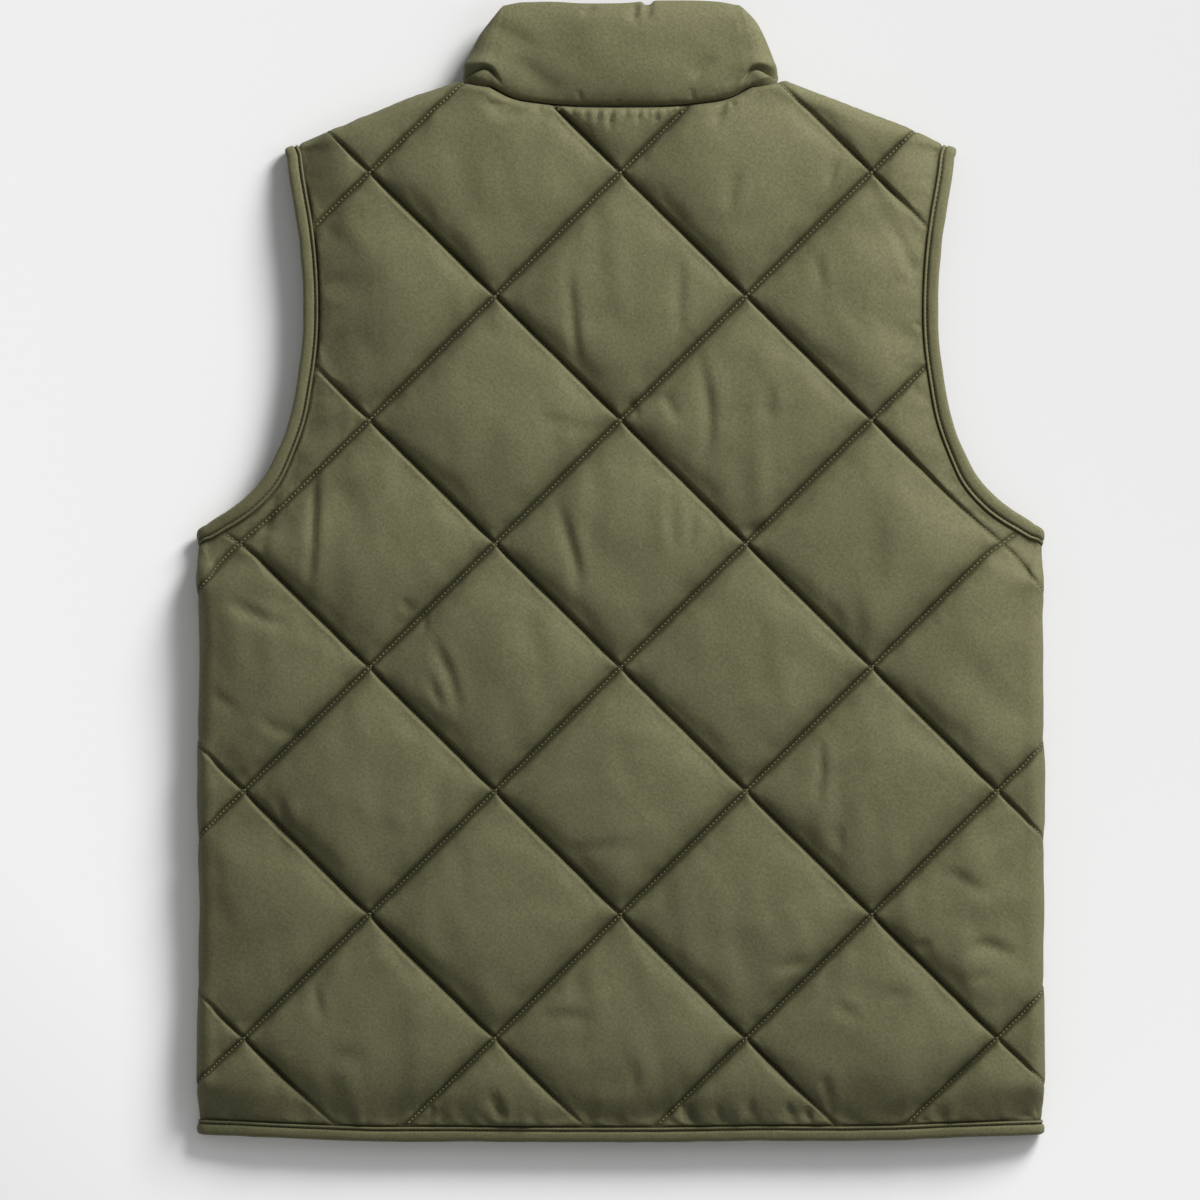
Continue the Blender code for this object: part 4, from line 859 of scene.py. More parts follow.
def new_piece(name, verts, faces, material, smooth=True):
    mesh = bpy.data.meshes.new(name)
    mesh.from_pydata(np.asarray(verts).tolist(), [], faces.tolist() if isinstance(faces, np.ndarray) else faces)
    mesh.update()
    mesh.polygons.foreach_set("use_smooth", np.full(len(mesh.polygons), smooth))
    if material:
        mesh.materials.append(material)
    piece = bpy.data.objects.new(name, mesh)
    bpy.context.scene.collection.objects.link(piece)
    return piece


def points_of(mesh):
    co = np.zeros(len(mesh.vertices) * 3)
    mesh.vertices.foreach_get("co", co)
    return co.reshape(-1, 3)


BLOWN_FRAMES = 20
CLOTH_SETTINGS = {"quality": 4, "mass": 0.1, "tension_stiffness": 12, "compression_stiffness": 6,
                  "shear_stiffness": 3, "bending_stiffness": 0.25, "use_pressure": True}
# How hard the back's filling presses, how much larger its cloth is cut, and the most that a point moves
BACK_FILLING = 2.5, 0.02, 1.2 * MM


def blown_up(verts, faces, held, pressure, growth, most):
    """How far each free point moves when the filling presses the cloth out. The cloth is cut a little larger than
    the shape, so that it gathers along its seams."""
    body = new_piece("blown_up", verts, faces, None)
    group = body.vertex_groups.new(name="held")
    group.add(np.flatnonzero(held).tolist(), 1.0, "REPLACE")
    cloth = body.modifiers.new("filling", "CLOTH")
    cloth.collision_settings.use_collision = False
    for key, value in CLOTH_SETTINGS.items():
        setattr(cloth.settings, key, value)
    cloth.settings.uniform_pressure_force = pressure
    cloth.settings.shrink_min = -growth
    cloth.settings.vertex_group_mass = "held"
    cloth.settings.effector_weights.gravity = 0
    cloth.point_cache.frame_start, cloth.point_cache.frame_end = 1, BLOWN_FRAMES
    for number in range(1, BLOWN_FRAMES + 1):
        bpy.context.scene.frame_set(number)
    settled = body.evaluated_get(bpy.context.evaluated_depsgraph_get())
    moved = points_of(settled.data) - verts
    bpy.data.objects.remove(body, do_unlink=True)
    bpy.context.scene.frame_set(1)
    size = np.linalg.norm(moved, axis=1)[:, None]
    capped = most * np.tanh(size / most)
    return np.where(held[:, None], 0, moved * capped / np.maximum(size, 1e-9))


def relieved(cut, surface, relief):
    """Inside of a panel with its direction out, and the wall of its cloth with the relief worked in."""
    place, normal, wall = surface(cut)
    return place, normal, np.maximum(wall + relief(cut), LEAST_WALL)


def panel(name, loop, bound, sewn, middle, surface, relief, material, filling, side_of=1):
    """A quilted panel, from its cut to its finished mesh, mirrored to the left where side_of is -1."""
    cut, side, faces = wall_net(loop, outer_net(loop, bound, sewn, middle), inner_net(loop))
    outside = side > 0.5
    moved = np.zeros((len(cut), 3))
    if filling:
        place, normal, wall = surface(cut)
        verts = place + normal * (wall * side)[:, None]
        still = (line_distance(cut) < STILL_BY_LINE) | (distance(cut, *bound) < STILL_BY_BINDING)
        still |= (distance(cut, *sewn) < STILL_BY_SEAM) | ~outside
        moved = smoothed(blown_up(verts, faces, still, *filling), faces, still, 1)
    faces, cut, side, moved = split(faces, cut, side, moved)
    outside = side > 0.5
    still = (line_distance(cut) < EASED_BY_LINE) | (distance(cut, *bound) < CRUSHED) | ~outside
    moved = smoothed(moved, faces, still, 2)
    place, normal, out = relieved(cut, surface, relief)
    verts = place + normal * (out * outside)[:, None] + moved
    verts[:, 2] = np.maximum(verts[:, 2], 0)
    piece = new_piece(name, hung(verts * (side_of, 1, 1)), faces, material)
    # Painted shade: the darkening share beside the stitch lines and bindings is kept on the mesh for the cloth's
    # colour
    shade = piece.data.attributes.new("painted_groove_shade", "FLOAT", "POINT")
    shade.data.foreach_set("value", (painted_groove_shade(cut, bound) * outside).astype(np.float32))
    if side_of < 0:
        piece.data.flip_normals()
    return piece


def body_faces(rows, count, closed=False, bodies=1):
    """Faces of bodies of rows of count points, each closed on itself or capped at both ends."""
    i, j = np.meshgrid(np.arange(rows if closed else rows - 1), np.arange(count), indexing="ij")
    a, b, k = i * count, (i + 1) % rows * count, (j + 1) % count
    one = np.stack([a + j, a + k, b + k, b + j], axis=-1).reshape(-1, 4).tolist()
    if not closed:
        one += [list(range(count))[::-1], list(range((rows - 1) * count, rows * count))]
    size = rows * count
    return [[base + corner for corner in face] for base in range(0, bodies * size, size) for face in one]


def body_triangles(rows, count):
    """The faces of a capped body as triangles."""
    a, b, c, d = np.array(body_faces(rows, count)[:-2]).T
    fan = np.arange(1, count - 1)
    ends = [np.column_stack([fan * 0, fan + 1, fan]), (rows - 1) * count + np.column_stack([fan * 0, fan, fan + 1])]
    return np.vstack([np.column_stack([a, b, c]), np.column_stack([a, c, d]), *ends])


def facing_out(piece):
    """The piece, turned inside out where its faces look in."""
    mesh = piece.data
    mesh.calc_loop_triangles()
    corners = np.zeros(len(mesh.loop_triangles) * 3, int)
    mesh.loop_triangles.foreach_get("vertices", corners)
    a, b, c = points_of(mesh)[corners.reshape(-1, 3)].transpose(1, 0, 2)
    if (a * np.cross(b, c)).sum() < 0:
        mesh.flip_normals()
    return piece


def swept(name, sections, material, closed):
    """A body swept through sections of equal count, closed on itself or capped at both ends."""
    rows, count = sections.shape[:2]
    return facing_out(new_piece(name, hung(sections.reshape(-1, 3)), body_faces(rows, count, closed), material))


# Bindings

# The tape's outer face from its held edge to its fold: mm from the held edge, mm over the flat tape
TAPE_FACE = [(0.0, -0.6), (0.06, 0.1), (0.35, 0.65), (0.8, 0.85), (1.3, 0.6), (1.7, -0.2), (2.05, -0.65),
             (2.45, -0.6), (2.8, 0.0), (3.3, 0.7), (4.4, 1.05), (6.3, 1.15), (7.7, 1.05), (8.7, 0.6),
             (9.45, -0.45)]
TAPE_HIGH = SEWN_WALL + TAPE_GAP + TAPE
TAPE_STITCH = 2.25 * MM  # of its stitches from its held edge
# Small waves: how much its height varies and over what length, how far its fold wanders and over what length
TAPE_VARIES, TAPE_WANDERS = (0.25, 9 * MM), (0.22 * MM, 12 * MM)
# How much of its height its sewn part loses on a fold, and where that part ends
PULLED_FLAT, SEWN_PART = 0.9, -7 * MM


def other_face(points):
    return np.column_stack([points[:, 0], SEWN_WALL - points[:, 1]])


def tape_section():
    """The binding's section: distances past the panel's edge and heights over its inside, round the tape."""
    face = np.array(TAPE_FACE) * MM
    first = np.column_stack([HELD + face[:, 0], TAPE_HIGH + face[:, 1]])
    nose = np.array([(BINDING_REACH, SEWN_WALL / 2)])
    high = SEWN_WALL + TAPE_GAP
    within = np.array([(HELD, high), (HELD / 2, high), (0, high), (EDGE_ROOM, SEWN_WALL)])
    return np.vstack([first, nose, other_face(first[::-1]), other_face(within), within[::-1]])


def bound_sections(line, surface, seed, folded=0.0):
    """Sections of a binding at the points of a panel's edge, with its small waves and pulls. Folded is 1 where
    the edge turns over a fold, which pulls the tape flat."""
    out = -left_normals(line)
    along = lengths_of(line)
    uneven = 1 + TAPE_VARIES[0] * noise(along / TAPE_VARIES[1], along * 0, seed)
    edge = TAPE_WANDERS[0] * noise(along / TAPE_WANDERS[1], along * 0, seed + 1)
    points = []
    for past, height in tape_section():
        place, normal, _ = surface(line + past * out)
        crown = uneven * (1 - PULLED_FLAT * folded * (past < SEWN_PART))
        swell = np.where(height > TAPE_HIGH, TAPE_HIGH + (height - TAPE_HIGH) * crown, height)
        place[:, :2] += out * (edge * (past > 0))[:, None]
        points.append(place + normal * swell[:, None])
    found = np.stack(points, axis=1)
    found[..., 2] = np.maximum(found[..., 2], 0)
    return found


def on_fold(line):
    """0 where a bound edge is flat, 1 where it is in the middle of a fold."""
    return fold_share(fold_shift(line, np.ones(len(line)))[0])


def armhole_binding(side, name, material):
    back = bound_sections(ARMHOLE, back_surface, 71, on_fold(ARMHOLE))
    front = bound_sections(FRONT_EDGES[2], front_surface, 73)
    return swept(name, np.concatenate([back, front[::-1][1:-1]]) * (side, 1, 1), material, closed=True)


def hem_binding(name, material):
    back = bound_sections(WHOLE_HEM, back_surface, 79, on_fold(WHOLE_HEM))
    front = bound_sections(FRONT_EDGES[0], front_surface, 83)[:-1]
    return swept(name, np.concatenate([front * (-1, 1, 1), back, front[::-1]]), material, closed=False)


# Collar

COLLAR_RING = 70  # points round the collar's section before it is split once
COLLAR_SWELL = 45 * MM  # the padding starts to thicken this far from the fold, and does so over as much again
CORNER_FROM = np.array([58, 7]) * MM  # more rows from this far out and this far up
COLLAR_LUMPS = [(48, 30, 1.1, 91), (19, 13, 0.45, 93)]  # size in mm both ways, height in mm, seed
TOP_STEP = 1 * MM  # along its top edge
# On the fold the section is fuller near its seam: its share of the padding there, how fast that grows, and its most
FOLD_FULLNESS = 0.3, 16, 0.98
RELIEF_OUT, RELIEF_UP = (0.05, 0.25), 0.06  # shares of padding and height over which its relief starts
CREASED_FROM = 8 * MM, 6 * MM  # height from which its creases and tucks show, and over how much more they grow
DIPS_FROM = (345 * MM, 25 * MM), (4 * MM, 6 * MM)  # the same for the dips, along and up
TOP_DIPS = [(-12.5, 26, 1.9), (17.5, 3.2, 2.6), (-50, 12, 0.5)]  # of the top edge: x, half width, depth in mm
# The tuck at each lower corner, from the seam's end, where an upper roll laps over a lower one: points in mm
TUCK = [(-115, 311), (-104.5, 319.6), (-97, 324.4), (-90, 327.6), (-84.5, 326.4), (-80, 321), (-76, 314.6)]


def collar_stations():
    """The collar's right half from the centre back over the fold to the zip: base, top, their directions out
    of the cloth, and the padding."""
    line = NECK[::-1]
    past = (line - SHOULDER_AXIS) @ ACROSS
    flat, fold, under = past < -1e-6, (past >= -1e-6) & (past < ARC + 1e-6), past > ARC + 1e-6
    beyond = line + COLLAR_GAP * left_normals(line)
    base, out, _ = back_surface(beyond)
    neck = FRONT_EDGES[4]
    front, front_out, _ = front_surface(neck[1:] - COLLAR_GAP * left_normals(neck)[1:])
    front[-1, 0] = ZIP_HALF_GAP
    turn = past[fold] / ARC * math.pi
    lean = np.array([math.cos(COLLAR_LEAN), math.sin(COLLAR_LEAN), 0])
    up = np.array([0, 0, 1])
    fold_out = np.outer(np.sin(turn), lean) + np.outer(np.cos(turn), up)
    fold_top = np.array([*COLLAR_FOLD_TOP, COLLAR_FOLD_TOP_Z]) + COLLAR_FOLD_INNER * fold_out
    fold_top[:, 1] -= COLLAR_FOLD_DROP * ease(turn / (math.pi / 2))
    back_line = np.vstack([smooth_line(np.array(COLLAR_TOP_BACK) * MM, TOP_STEP), fold_top[:1, :2]])
    shares = lengths_of(line[flat | (past == past[fold][0])])
    back_top = at_lengths(back_line, shares[:-1] / shares[-1] * lengths_of(back_line)[-1])
    back_z = mix(BACK_LEVEL, fold_top[0, 2], ease(back_top[:, 0] / COLLAR_FOLD_TOP[0]))
    front_line = smooth_line(np.vstack([fold_top[-1:, :2], np.array(COLLAR_TOP_FRONT) * MM]), TOP_STEP)
    shares = lengths_of(np.vstack([base[fold][-1:], base[under], front])[:, :2])
    front_top = at_lengths(front_line, shares[1:] / shares[-1] * lengths_of(front_line)[-1])
    front_z = mix(fold_top[-1, 2], FRONT_ZIP_LEVEL, ease(np.linspace(0, 2, len(front_top))))
    top = np.vstack([np.column_stack([back_top, back_z]), fold_top, np.column_stack([front_top, front_z])])
    base, out = np.vstack([base, front]), np.vstack([out, front_out])
    top_out = np.vstack([np.tile(up, (len(back_top), 1)), fold_out, np.tile(-up, (len(front_top), 1))])
    padding = np.where(top_out[:, 2] < -0.999, FRONT_ZIP_LEVEL, COLLAR_FOLD_PADDING)
    from_fold = np.linalg.norm(base[: len(back_top), :2] - fold_top[0, :2], axis=1)
    swollen = ease((from_fold - COLLAR_SWELL) / COLLAR_SWELL)
    padding[: len(back_top)] = mix(COLLAR_FOLD_PADDING, COLLAR_PADDING, swollen)
    return base, top, out, top_out, padding

# Across the tuck, in mm: height, place and width of its lip, the edge where that drops and over how much, depth and
# widths of the hollow below it, and height, place and width of the lower roll
TUCK_LIP, TUCK_DROP, TUCK_HOLLOW, TUCK_ROLL = (3.2, 1.5, 6.0), (-0.5, 1.7), (5.4, 1.1, 1.2), (1.2, -6, 3.6)
TUCK_FADES = 0.3, 0.45  # shares of its length over which its two ends fade
TUCK_LEVEL = 0.1, 0.4  # it shows where the cloth faces up more than this, and fully this much further


def tuck_shape(points, line):
    """What a tuck adds out of the cloth: a rounded lip on the line's left, a sharp drop, then a lower roll."""
    off, along = beside(points, line)
    whole = lengths_of(line)[-1]
    first, last = TUCK_FADES
    taper = ease(along / (first * whole)) * ease((whole - along) / (last * whole))
    u = off / MM
    edge, drop = TUCK_DROP
    from_edge = u - edge
    high, place, wide = TUCK_LIP
    lip = high * np.exp(-((np.clip(u, 0, None) - place) / wide) ** 2) * ease(from_edge / drop)
    deep, above, below = TUCK_HOLLOW
    hollow = -deep * np.exp(-np.where(u > edge, from_edge / above, from_edge / below) ** 2)
    high, place, wide = TUCK_ROLL
    roll = high * np.exp(-(((u - place) / wide) ** 2))
    return (lip + hollow + roll) * taper * MM


def whole_rows(rows, near):
    """The collar's rows of points from zip to zip, with one more after each of those near its lower corners."""
    rows = rows.transpose(1, 0, 2)
    rows = np.insert(rows, near + 1, (rows[near] + rows[near + 1]) / 2, axis=0)
    return np.concatenate([rows[:0:-1] * (-1, 1, 1), rows])


def collar_piece(name, material):
    """The padded collar, from its sections to its finished mesh."""
    base, top, out, top_out, padding = collar_stations()
    outline = smooth_line(np.array(COLLAR_SECTION), 0.01)
    outline = resampled(np.vstack([outline, [COLLAR_SECTION[0]]]), lengths_of(outline)[-1] / COLLAR_RING)[:-1]
    height, depth = outline[:, :1, None], outline[:, 1:]
    turned = mix(out, top_out, ease(height / COLLAR_TURN))
    turned /= np.linalg.norm(turned, axis=2)[..., None]
    height = height[..., 0]
    folded = np.sqrt(1 - np.clip(top_out[:, 2], -1, 1) ** 2) * (height < 0.5)
    least, growth, most = FOLD_FULLNESS
    full = np.maximum(depth, np.clip(least + growth * height, 0, most) * (depth > RELIEF_OUT[0]))
    depth = mix(depth, full, folded)[..., None]
    sections = mix(base, top, height[..., None]) + turned * depth * padding[:, None]
    near = np.flatnonzero((base[:-1, (0, 2)] > CORNER_FROM).all(1))
    sections, turned = whole_rows(sections, near), whole_rows(turned, near)
    rows, count = sections.shape[:2]
    faces, verts, turned, lies = split(body_triangles(rows, count), sections.reshape(-1, 3), turned.reshape(-1, 3),
                                       np.tile(outline, (rows, 1)))
    plan = verts[:, :2]
    folded = ease((verts[:, 2] - CREASED_FROM[0]) / CREASED_FROM[1])
    raised = sum(noise(plan[:, 0] / (wide * MM), plan[:, 1] / (high * MM), seed) * lump * MM
                 for wide, high, lump, seed in COLLAR_LUMPS)
    raised -= crease_depth(plan, COLLAR_CREASES) * folded
    raised += edge_puckers(plan, WHOLE_NECK, 0, COLLAR_GATHERS, 47)
    tuck = smooth_line(np.array(TUCK) * MM, MM)
    for points in (plan, plan * (-1, 1)):
        raised += tuck_shape(points, tuck) * folded * ease((turned[:, 2] - TUCK_LEVEL[0]) / TUCK_LEVEL[1])
    shell, seam = ease((lies[:, 1] - RELIEF_OUT[0]) / RELIEF_OUT[1]), rounded(lies[:, 0] / RELIEF_UP)
    verts = verts + turned * (raised * shell * seam)[:, None]
    along, up = (ease((verts[:, axis] - least) / more) for axis, (least, more) in zip((1, 2), DIPS_FROM))
    for x, width, dip in TOP_DIPS:
        verts[:, 1] -= dip * MM * (along * up) * np.exp(-(((verts[:, 0] - x * MM) / (width * MM)) ** 4))
    verts[:, 2] = np.maximum(verts[:, 2], 0)
    return facing_out(new_piece(name, verts, faces, material))


# Stitches

# Rings of one stitch: share of its length, share of the thread's radius, height of its middle in thread radii
STITCH_RINGS = [(0.0, 0.45, -0.7), (0.16, 0.9, 0.2), (0.5, 1.0, 0.75), (0.84, 0.9, 0.2), (1.0, 0.45, -0.7)]
STITCH_SIDES = 5


def stitches(name, ends, ups, material, radius=THREAD_RADIUS):
    """Short threads, each from the first to the second of its ends, in one mesh."""
    start, stop = ends
    along = stop - start
    size = np.linalg.norm(along, axis=1)[:, None]
    along = along / size
    across = np.cross(along, ups)
    across /= np.linalg.norm(across, axis=1)[:, None]
    up = np.cross(across, along)
    angle = (np.arange(STITCH_SIDES) / STITCH_SIDES * 2 * math.pi)[:, None, None]
    spoke = np.cos(angle) * across + np.sin(angle) * up
    rings = [start + along * size * share + up * rise * radius + spoke * girth * radius
             for share, girth, rise in STITCH_RINGS]
    verts = np.stack(rings).transpose(2, 0, 1, 3).reshape(-1, 3)
    return new_piece(name, hung(verts), body_faces(len(rings), STITCH_SIDES, bodies=len(start)), material)


def stitch_cuts(loop, bound, sewn):
    """Ends in the cut of each stitch along the quilting lines of a panel, clear of its edges."""
    starts, stops = [], []
    at = np.arange(-STITCHED_REACH, STITCHED_REACH, STITCH_PITCH)
    for fall in (-1, 1):
        step = np.array([DIAMOND_WIDTH, fall * DIAMOND_HEIGHT]) / 2
        step /= np.linalg.norm(step)
        for number in range(-MOST_LINES - 1, MOST_LINES + 2):
            point = np.array([number * DIAMOND_WIDTH, QUILT_NODE_Y])
            starts.append(point + np.outer(at, step))
            stops.append(point + np.outer(at + STITCH_LENGTH, step))
    starts, stops = np.vstack(starts), np.vstack(stops)
    keep = inside(starts, loop) & inside(stops, loop)
    starts, stops = starts[keep], stops[keep]
    keep = np.ones(len(starts), bool)
    for points in (starts, stops):
        keep &= (distance(points, *bound) > STITCH_FROM_BOUND) & (distance(points, *sewn) > STITCH_FROM_SEWN)
    return starts[keep], stops[keep]


def panel_stitches(name, loop, bound, sewn, surface, relief, material, side_of=1):
    """The stitches of a quilted panel, mirrored to the left where side_of is -1."""
    ends = []
    for cut in stitch_cuts(loop, bound, sewn):
        place, normal, wall = relieved(cut, surface, relief)
        ends.append((place + normal * wall[:, None]) * (side_of, 1, 1))
    return stitches(name, ends, normal * (side_of, 1, 1), material)


def tape_stitch_ends(line, surface):
    """Ends of the stitches along a binding, on the panel's side that surface gives, and the direction out."""
    middle = line - (HELD + TAPE_STITCH) * left_normals(line)
    at = np.arange(FIRST_TAPE_STITCH, lengths_of(middle)[-1] - STITCH_LENGTH, STITCH_PITCH)
    ends = []
    for shift in (0, STITCH_LENGTH):
        place, normal, _ = surface(at_lengths(middle, at + shift))
        place = place + normal * (TAPE_HIGH - TAPE_THREAD_SINK)
        place[:, 2] = np.maximum(place[:, 2], LEAST_THREAD_LEVEL)
        ends.append(place)
    return *ends, normal


def binding_stitches(name, material):
    runs = [tape_stitch_ends(WHOLE_HEM, back_surface)]
    for line, surface in ((ARMHOLE, back_surface), (FRONT_EDGES[0], front_surface), (FRONT_EDGES[2], front_surface)):
        found = tape_stitch_ends(line, surface)
        runs += [found, [part * (-1, 1, 1) for part in found]]
    *ends, up = (np.vstack(parts) for parts in zip(*runs))
    return stitches(name, ends, up, material, TAPE_THREAD_RADIUS)


# Zip


def zip_middle(y):
    points = np.column_stack([np.full(len(y), ZIP_HALF_GAP), y])
    return front_level(points) + ZIP_RISE


TOOTH_PITCH = 2.6 * MM
# One tooth seen along the chain's thickness: mm across from its root, mm along the chain
TOOTH = [(0.0, -0.75), (2.1, -0.75), (2.5, -1.0), (3.4, -1.0), (3.9, -0.45), (3.9, 0.45), (3.4, 1.0), (2.5, 1.0),
         (2.1, 0.75), (0.0, 0.75)]
TOOTH_CHAMFER, TOOTH_FACE = 0.35 * MM, 0.84  # how deep its edge is bevelled, and the size of its face
FIRST_TOOTH, LAST_TOOTH = ZIP_BOTTOM + BOX_LENGTH + 1.2 * MM, SLIDER_Y + 2 * MM


def zip_teeth(name, material):
    """Two rows of moulded teeth whose heads hook behind each other."""
    outline = np.array(TOOTH) * MM
    face = (outline - outline.mean(0)) * TOOTH_FACE + outline.mean(0)
    half = CHAIN_THICKNESS / 2
    layers = [(face, -half), (outline, -half + TOOTH_CHAMFER), (outline, half - TOOTH_CHAMFER), (face, half)]
    verts, teeth = [], 0
    for side, start in ((1, 0), (-1, TOOTH_PITCH / 2)):
        y = np.arange(FIRST_TOOTH + start, LAST_TOOTH, TOOTH_PITCH)
        teeth += len(y)
        for at, middle in zip(y, zip_middle(y)):
            for shape, z in layers:
                verts += [(side * (CHAIN_WIDTH / 2 - px), at + py, middle + z) for px, py in shape]
    return new_piece(name, verts, body_faces(len(layers), len(outline), bodies=teeth), material, smooth=False)


# Finish


def new_tree(material):
    material.use_nodes = True
    material.node_tree.nodes.clear()
    return material.node_tree


def add_node(tree, kind, where, inputs=None, **settings):
    """The outputs of a new shader node. Its inputs are given values or other nodes' outputs."""
    node = tree.nodes.new(kind)
    node.location = where
    for key, value in settings.items():
        setattr(node, key, value)
    for key, value in (inputs or {}).items():
        if isinstance(value, bpy.types.NodeSocket):
            tree.links.new(value, node.inputs[key])
        else:
            node.inputs[key].default_value = value
    return node.outputs


def new_group(name, inputs, outputs):
    """A node group with named inputs and outputs, and what its inputs give. A socket is a colour where its value
    is None, otherwise a number."""
    group = bpy.data.node_groups.new(name, "ShaderNodeTree")
    for way, sockets in (("INPUT", inputs), ("OUTPUT", outputs)):
        for socket, value in sockets.items():
            kind = "NodeSocketColor" if value is None else "NodeSocketFloat"
            made = group.interface.new_socket(socket, in_out=way, socket_type=kind)
            if value is not None:
                made.default_value = value
    return group, add_node(group, "NodeGroupInput", (-900, 0))


def cloth_grain_group():
    """A fine slanted weave with uneven threads, in real size: its relief and how light each thread looks."""
    group, given = new_group("Cloth grain", {"Thread rows per metre": 900, "Mottle per metre": 520},
                             {"Relief": 0, "Lightness": 0})
    place = add_node(group, "ShaderNodeTexCoord", (-900, -300))["Object"]
    slant = (0, 0, math.radians(38))
    place = add_node(group, "ShaderNodeMapping", (-700, -300), {"Vector": place, "Rotation": slant})["Vector"]
    rows = add_node(group, "ShaderNodeTexWave", (-480, 100),
                    {"Vector": place, "Scale": given["Thread rows per metre"], "Distortion": 2.2, "Detail": 2,
                     "Detail Scale": 1.6}, wave_type="BANDS", bands_direction="X")["Fac"]
    mottle = add_node(group, "ShaderNodeTexNoise", (-480, -250),
                      {"Vector": place, "Scale": given["Mottle per metre"], "Detail": 3, "Roughness": 0.62})["Fac"]
    both = add_node(group, "ShaderNodeMix", (-240, 0), {"Factor": 0.6, "A": rows, "B": mottle}, data_type="FLOAT")
    light = add_node(group, "ShaderNodeMapRange", (-20, -160),
                     {"Value": mottle, "From Min": 0.3, "From Max": 0.7, "To Min": 0.8, "To Max": 1.2})
    add_node(group, "NodeGroupOutput", (200, 0), {"Relief": both["Result"], "Lightness": light["Result"]})
    return group


def colour_mix(tree, where, share, first, second):
    return add_node(tree, "ShaderNodeMix", where, {0: share, 6: first, 7: second}, data_type="RGBA")[2]


def dye_and_shade_group():
    """Dyed cloth's broad uneven tone between its Deep and Light colours, with painted shade, darker and less blue, by
    the share given at its painted shade input.
    """
    group, given = new_group("Uneven dye and painted shade", {"Deep": None, "Light": None, "Lightness": 1, "Painted shade": 0},
                             {"Colour": None})
    place = add_node(group, "ShaderNodeTexCoord", (-900, -250))["Object"]
    cloud = add_node(group, "ShaderNodeTexNoise", (-700, -250), {"Vector": place, "Scale": 24, "Detail": 4})["Fac"]
    tone = colour_mix(group, (-400, 0), cloud, given["Deep"], given["Light"])
    # Painted shade: the colour is darkened and made less blue by the share given at the shade input
    left = colour_mix(group, (-400, -250), given["Painted shade"], (1, 1, 1, 1), PAINTED_SHADE_TONE)
    dyed_and_shaded = add_node(group, "ShaderNodeVectorMath", (-200, 0), {0: tone, 1: left}, operation="MULTIPLY")["Vector"]
    shade = add_node(group, "ShaderNodeVectorMath", (-20, 0), {0: dyed_and_shaded, "Scale": given["Lightness"]},
                     operation="SCALE")["Vector"]
    add_node(group, "NodeGroupOutput", (180, 0), {"Colour": shade})
    return group


GRAIN, DYE_AND_PAINTED_SHADE = cloth_grain_group(), dye_and_shade_group()
GRAIN_HEIGHT = 0.3 * MM


def end_tree(tree, shader, where, inputs):
    """A shader with its inputs, and the material's output."""
    made = add_node(tree, shader, where, inputs)
    add_node(tree, "ShaderNodeOutputMaterial", (where[0] + 300, 0), {"Surface": made["BSDF"]})


def cloth_material(name, deep, light, rows, mottle, relief, roughness, sheen):
    material = bpy.data.materials.new(name)
    tree = new_tree(material)
    grain = add_node(tree, "ShaderNodeGroup", (-700, -100), node_tree=GRAIN,
                     inputs={"Thread rows per metre": rows, "Mottle per metre": mottle})
    # Painted shade in the grooves beside the stitch lines and bindings, read from the mesh
    painted_shade = add_node(tree, "ShaderNodeAttribute", (-700, 200), attribute_name="painted_groove_shade")["Fac"]
    dye_and_shade = add_node(tree, "ShaderNodeGroup", (-440, 100), node_tree=DYE_AND_PAINTED_SHADE,
                   inputs={"Deep": (*deep, 1), "Light": (*light, 1), "Lightness": grain["Lightness"],
                           "Painted shade": painted_shade})
    bump = add_node(tree, "ShaderNodeBump", (-240, -260),
                    {"Strength": relief, "Distance": GRAIN_HEIGHT, "Height": grain["Relief"]})
    end_tree(tree, "ShaderNodeBsdfPrincipled", (0, 0),
             {"Base Color": dye_and_shade["Colour"], "Roughness": roughness, "Sheen Weight": sheen, "Sheen Roughness": 0.45,
              "Specular IOR Level": 0.2, "Normal": bump["Normal"]})
    return material


def metal_material(name):
    """Dark lacquered metal, rubbed a little brighter in spots."""
    material = bpy.data.materials.new(name)
    tree = new_tree(material)
    dye_and_shade = add_node(tree, "ShaderNodeGroup", (-400, 100), node_tree=DYE_AND_PAINTED_SHADE,
                   inputs={"Deep": (0.045, 0.043, 0.036, 1), "Light": (0.09, 0.087, 0.072, 1)})
    scuff = add_node(tree, "ShaderNodeTexNoise", (-600, -200), {"Scale": 700})["Fac"]
    rough = add_node(tree, "ShaderNodeMapRange", (-400, -200), {"Value": scuff, "To Min": 0.28, "To Max": 0.5})
    end_tree(tree, "ShaderNodeBsdfPrincipled", (0, 0),
             {"Base Color": dye_and_shade["Colour"], "Roughness": rough["Result"], "Metallic": 0.9})
    return material


# Deep and light dye, thread rows and mottles a metre, relief, roughness, sheen
SHELL = cloth_material("Olive shell cloth", (0.122, 0.118, 0.058), (0.146, 0.142, 0.073), 420, 560, 0.6, 0.7, 0.04)
BINDING = cloth_material("Olive binding tape", (0.12, 0.116, 0.056), (0.142, 0.138, 0.069), 520, 640, 0.5, 0.7, 0.12)
THREAD = cloth_material("Olive thread", (0.162, 0.157, 0.084), (0.225, 0.218, 0.121), 1500, 1200, 0.4, 0.5, 0.2)
